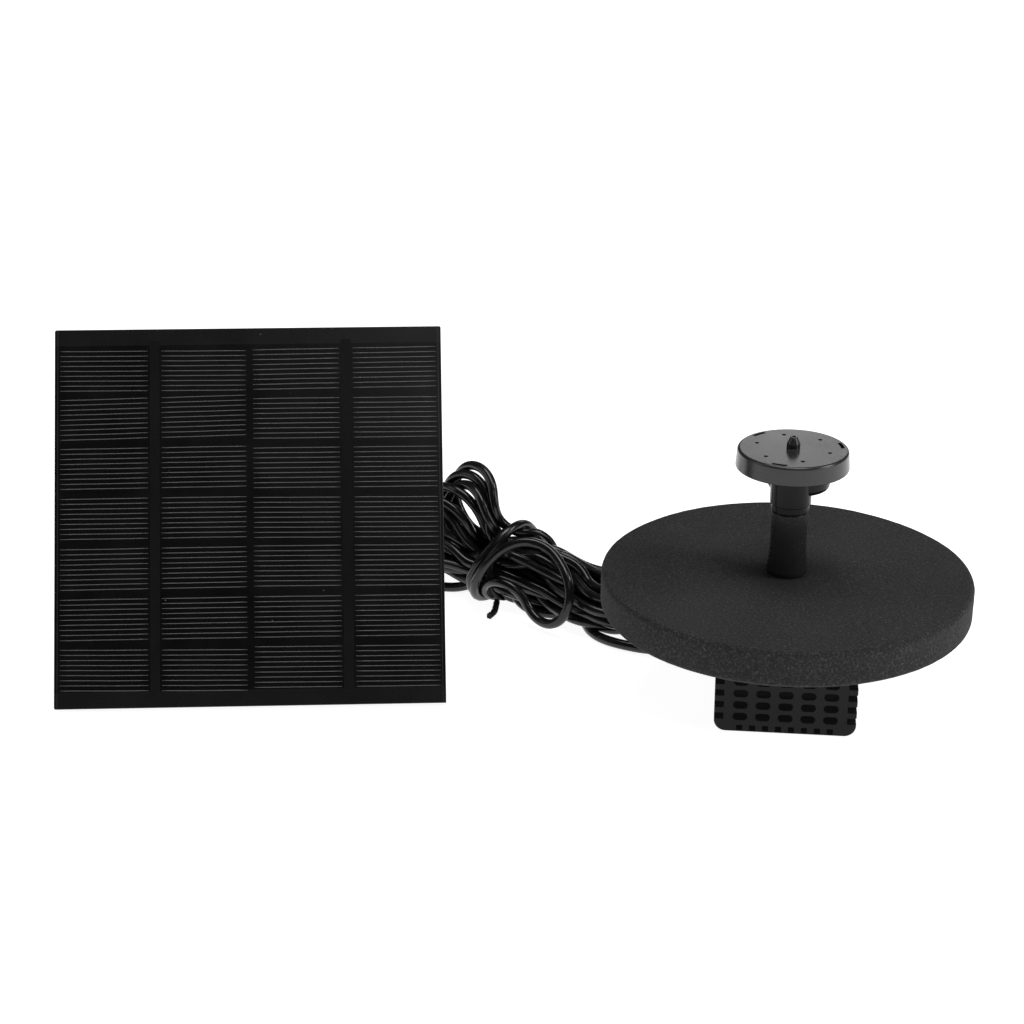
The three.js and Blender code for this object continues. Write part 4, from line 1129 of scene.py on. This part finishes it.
def make_strainer():
    """An open-backed cover with rows of slots in its face and notches round three of its edges."""
    cover = prism("strainer", shell_outline(0), SHELL_FRONT, SHELL_JOINT, front=0.5)
    carve(cover, prism("hollow", shell_outline(WALL), SHELL_FRONT + WALL, SHELL_JOINT + 1))
    tools = []

    def cut(at, size, corner, steps, deep):
        outline = rounded_outline(*size, corner, at, steps)
        tools.append(prism("opening", outline, SHELL_FRONT - 1, SHELL_FRONT + deep))

    for row in range(SLOT_ROWS):
        z = FIRST_SLOT + SLOT_ROW_PITCH * row
        for column in range(SLOT_COLUMNS):
            x = PUMP_CENTRE[0] + (column - (SLOT_COLUMNS - 1) / 2) * SLOT_COLUMN_PITCH
            cut((x, z), SLOT_SIZE, 1.1, 6, WALL + 0.6)
        for side in (-1, 1):
            x = PUMP_CENTRE[0] + side * (PUMP_SIZE[0] / 2 - 0.8)
            cut((x, z), SIDE_NOTCH, 0.15, 2, NOTCH_DEEP)
    for k in range(LOW_NOTCHES):
        x = PUMP_CENTRE[0] + (k - (LOW_NOTCHES - 1) / 2) * SLOT_ROW_PITCH
        cut((x, LOW_NOTCH_UP), LOW_NOTCH, 0.15, 2, NOTCH_DEEP)
    carve(cover, joined("grille_tools", tools))
    weld(cover)
    return finish_piece(cover, "strainer", "case_black", ["strainer_cover"],
                        width=0.14)


TO_REAR = Matrix.Rotation(math.radians(-90), 4, "X")  # turns Z to the pump's rear
MOTOR = PUMP_FRAME @ Matrix.Translation((PUMP_CENTRE[0], 0, MOTOR_POINT[2])) @ TO_REAR
GAP = 0.3  # between pieces that touch
BAY_RADIUS = 13.05
# The outlet's pipe, from inside the housing up into the riser: radius and height.
STACK = [(0.001, 28), (4.3, 28), (4.3, 30.7, 0.5), (3.7, 30.7, 0.4), (3.7, 54, 0.3), (0.001, 54)]


def make_housing():
    """Volute, outlet and motor bay in one block, with the rotor's well between them."""
    block = prism("housing", shell_outline(0), SHELL_JOINT + GAP, SHELL_REAR)
    spigot = prism("spigot", shell_outline(WALL + GAP), SHELL_JOINT - 3, SHELL_JOINT + 1)
    carve(block, spigot, "UNION")
    turned(block, STACK, PUMP_FRAME, 64, 3, "UNION")
    # Volute, the rotor's well, the pocket of its seat, the motor's bay and its end, the outlet.
    bores = [
        (rod(12.6, -10.7, 3), MOTOR, 96), (rod(6, 2, 15.6), MOTOR, 96),
        (rod(2.9, 14, 17.2), MOTOR, 48), (rod(BAY_RADIUS, 6.4, 23.2, 7), MOTOR, 96),
        (rod(BAY_RADIUS, 18.6, 23.4), MOTOR, 96), (rod(2.7, 21.4, 55), PUMP_FRAME, 48),
    ]
    for corners, place, segments in bores:
        turned(block, corners, place, segments)
    weld(block)
    return finish_piece(block, "kit", "case_black", ["pump_housing"], width=0.3)


RIBS, RIB_PITCH, RIB_RADIUS, RIB_TAPER = 5, 1.5, 2.45, 0.11


def make_pump_boot():
    """A ribbed, tapering boot where the cable enters the rear cover."""
    face = SHELL_REAR + GAP + WALL
    corners = [(0.001, SHELL_REAR + GAP), (2.6, SHELL_REAR + GAP), (2.6, face + 0.3),
               (3.4, face + 0.3, 0.1), (3.4, face + 1.4, 0.4), (2.5, face + 1.5, 0.3)]
    for k in range(RIBS):
        y, r = face + 2.4 + RIB_PITCH * k, RIB_RADIUS - RIB_TAPER * k
        corners += [(r, y, 0.1), (r - 0.32, y + 0.3, 0.1), (r - 0.36, y + 0.8, 0.1),
                    (r - 0.1, y + 1.1, 0.1)]
    corners += [(1.9, face + 9.9, 0.1), (1.55, face + 10), (0.001, face + 10)]
    place = PUMP_FRAME @ Matrix.Translation((-7, 0, 9.4)) @ TO_REAR
    boot = lathe("pump_boot", corners, place, 64)
    return finish_piece(boot, "kit", "rubber", ["pump_cable_gland"], angle=30)


make_panel_sheet()
make_busbars()
make_fingers()
make_float()
make_riser()
make_dish()
make_cap()
make_strainer()
make_housing()
make_pump_boot()

# How wide the bevels of the CAD nodes are, in mm.
BEVELLED = {
    "panel_backboard": 0.2, "junction_box": 0.4, "junction_lid": 0.3, "junction_screw_1": 0.12,
    "junction_screw_2": 0.12, "panel_cable_gland": 0.12, "prop_bracket": 0.35, "prop_pin": 0.15,
    "prop_leg": 0.35, "rear_cover": 0.3, "impeller_cover": 0.1, "impeller": 0.06,
    "stator_core": 0.06, "driver_board": 0.05, "potting_resin": 0.1, "blocking_diode": 0.1,
}

for node_name, node in nodes.items():
    if node.hide_render:
        continue
    node.data.materials.clear()
    node.data.materials.append(LOOKS[NODE_LOOKS.get(node_name, "case_black")])
    if node_name in BEVELLED:
        soften(node, BEVELLED[node_name], 2, 35)


# ---------------------------------------------------------------- floor and light

def make_floor():
    mesh = bpy.data.meshes.new("floor")
    corners = [(-4, -4, 0), (4, -4, 0), (4, 4, 0), (-4, 4, 0)]
    mesh.from_pydata(corners, [], [(0, 1, 2, 3)])
    floor = linked("floor", mesh)
    floor.location.z = -0.0002
    look = Look("floor")
    look.colour(look.mix(look.noise(0.01, 2), (0.60, 0.60, 0.60), (0.63, 0.63, 0.63)))
    look.roughness(look.noise(0.02, 2), 0.75, 0.85)
    look.set(Emission_Color=(1, 1, 1, 1), Emission_Strength=0.93)
    mesh.materials.append(look.material)


def area_light(name, at, aim, size, power):
    data = bpy.data.lights.new(name, "AREA")
    data.shape = "RECTANGLE"
    data.size, data.size_y = size
    data.energy = power
    lamp = linked(name, data)
    lamp.location = at
    lamp.rotation_euler = (Vector(aim) - Vector(at)).to_track_quat("-Z", "Y").to_euler()


make_floor()
area_light("overhead", (0.05, 0.05, 1.25), (0, 0, 0), (0.95, 0.5), 7.4)
area_light("right_box", (1.0, -0.35, 0.45), (0.05, 0, 0.03), (0.5, 0.6), 3)
area_light("back_box", (0.36, 1.12, 0.50), (0.08, 0, 0.06), (0.5, 0.3), 0.72)
area_light("front_glow", (0.18, -0.85, 0.90), (-0.02, 0.04, 0.096), (0.35, 0.35), 0.5)
area_light("key_spot", (0.86, 0.0, 0.86), (0.08, 0, 0.07), (0.28, 0.28), 2.6)
area_light("left_box", (-1.0, -0.1, 0.6), (0, 0, 0.03), (0.5, 0.6), 1.0)

world = bpy.data.worlds.new("studio")
scene.world = world
world.use_nodes = True
world.node_tree.nodes["Background"].inputs["Color"].default_value = (1, 1, 1, 1)
world.node_tree.nodes["Background"].inputs["Strength"].default_value = 0.06

scene.view_settings.view_transform = "Standard"
scene.view_settings.look = "None"
scene.view_settings.exposure = 0
scene.view_settings.gamma = 1
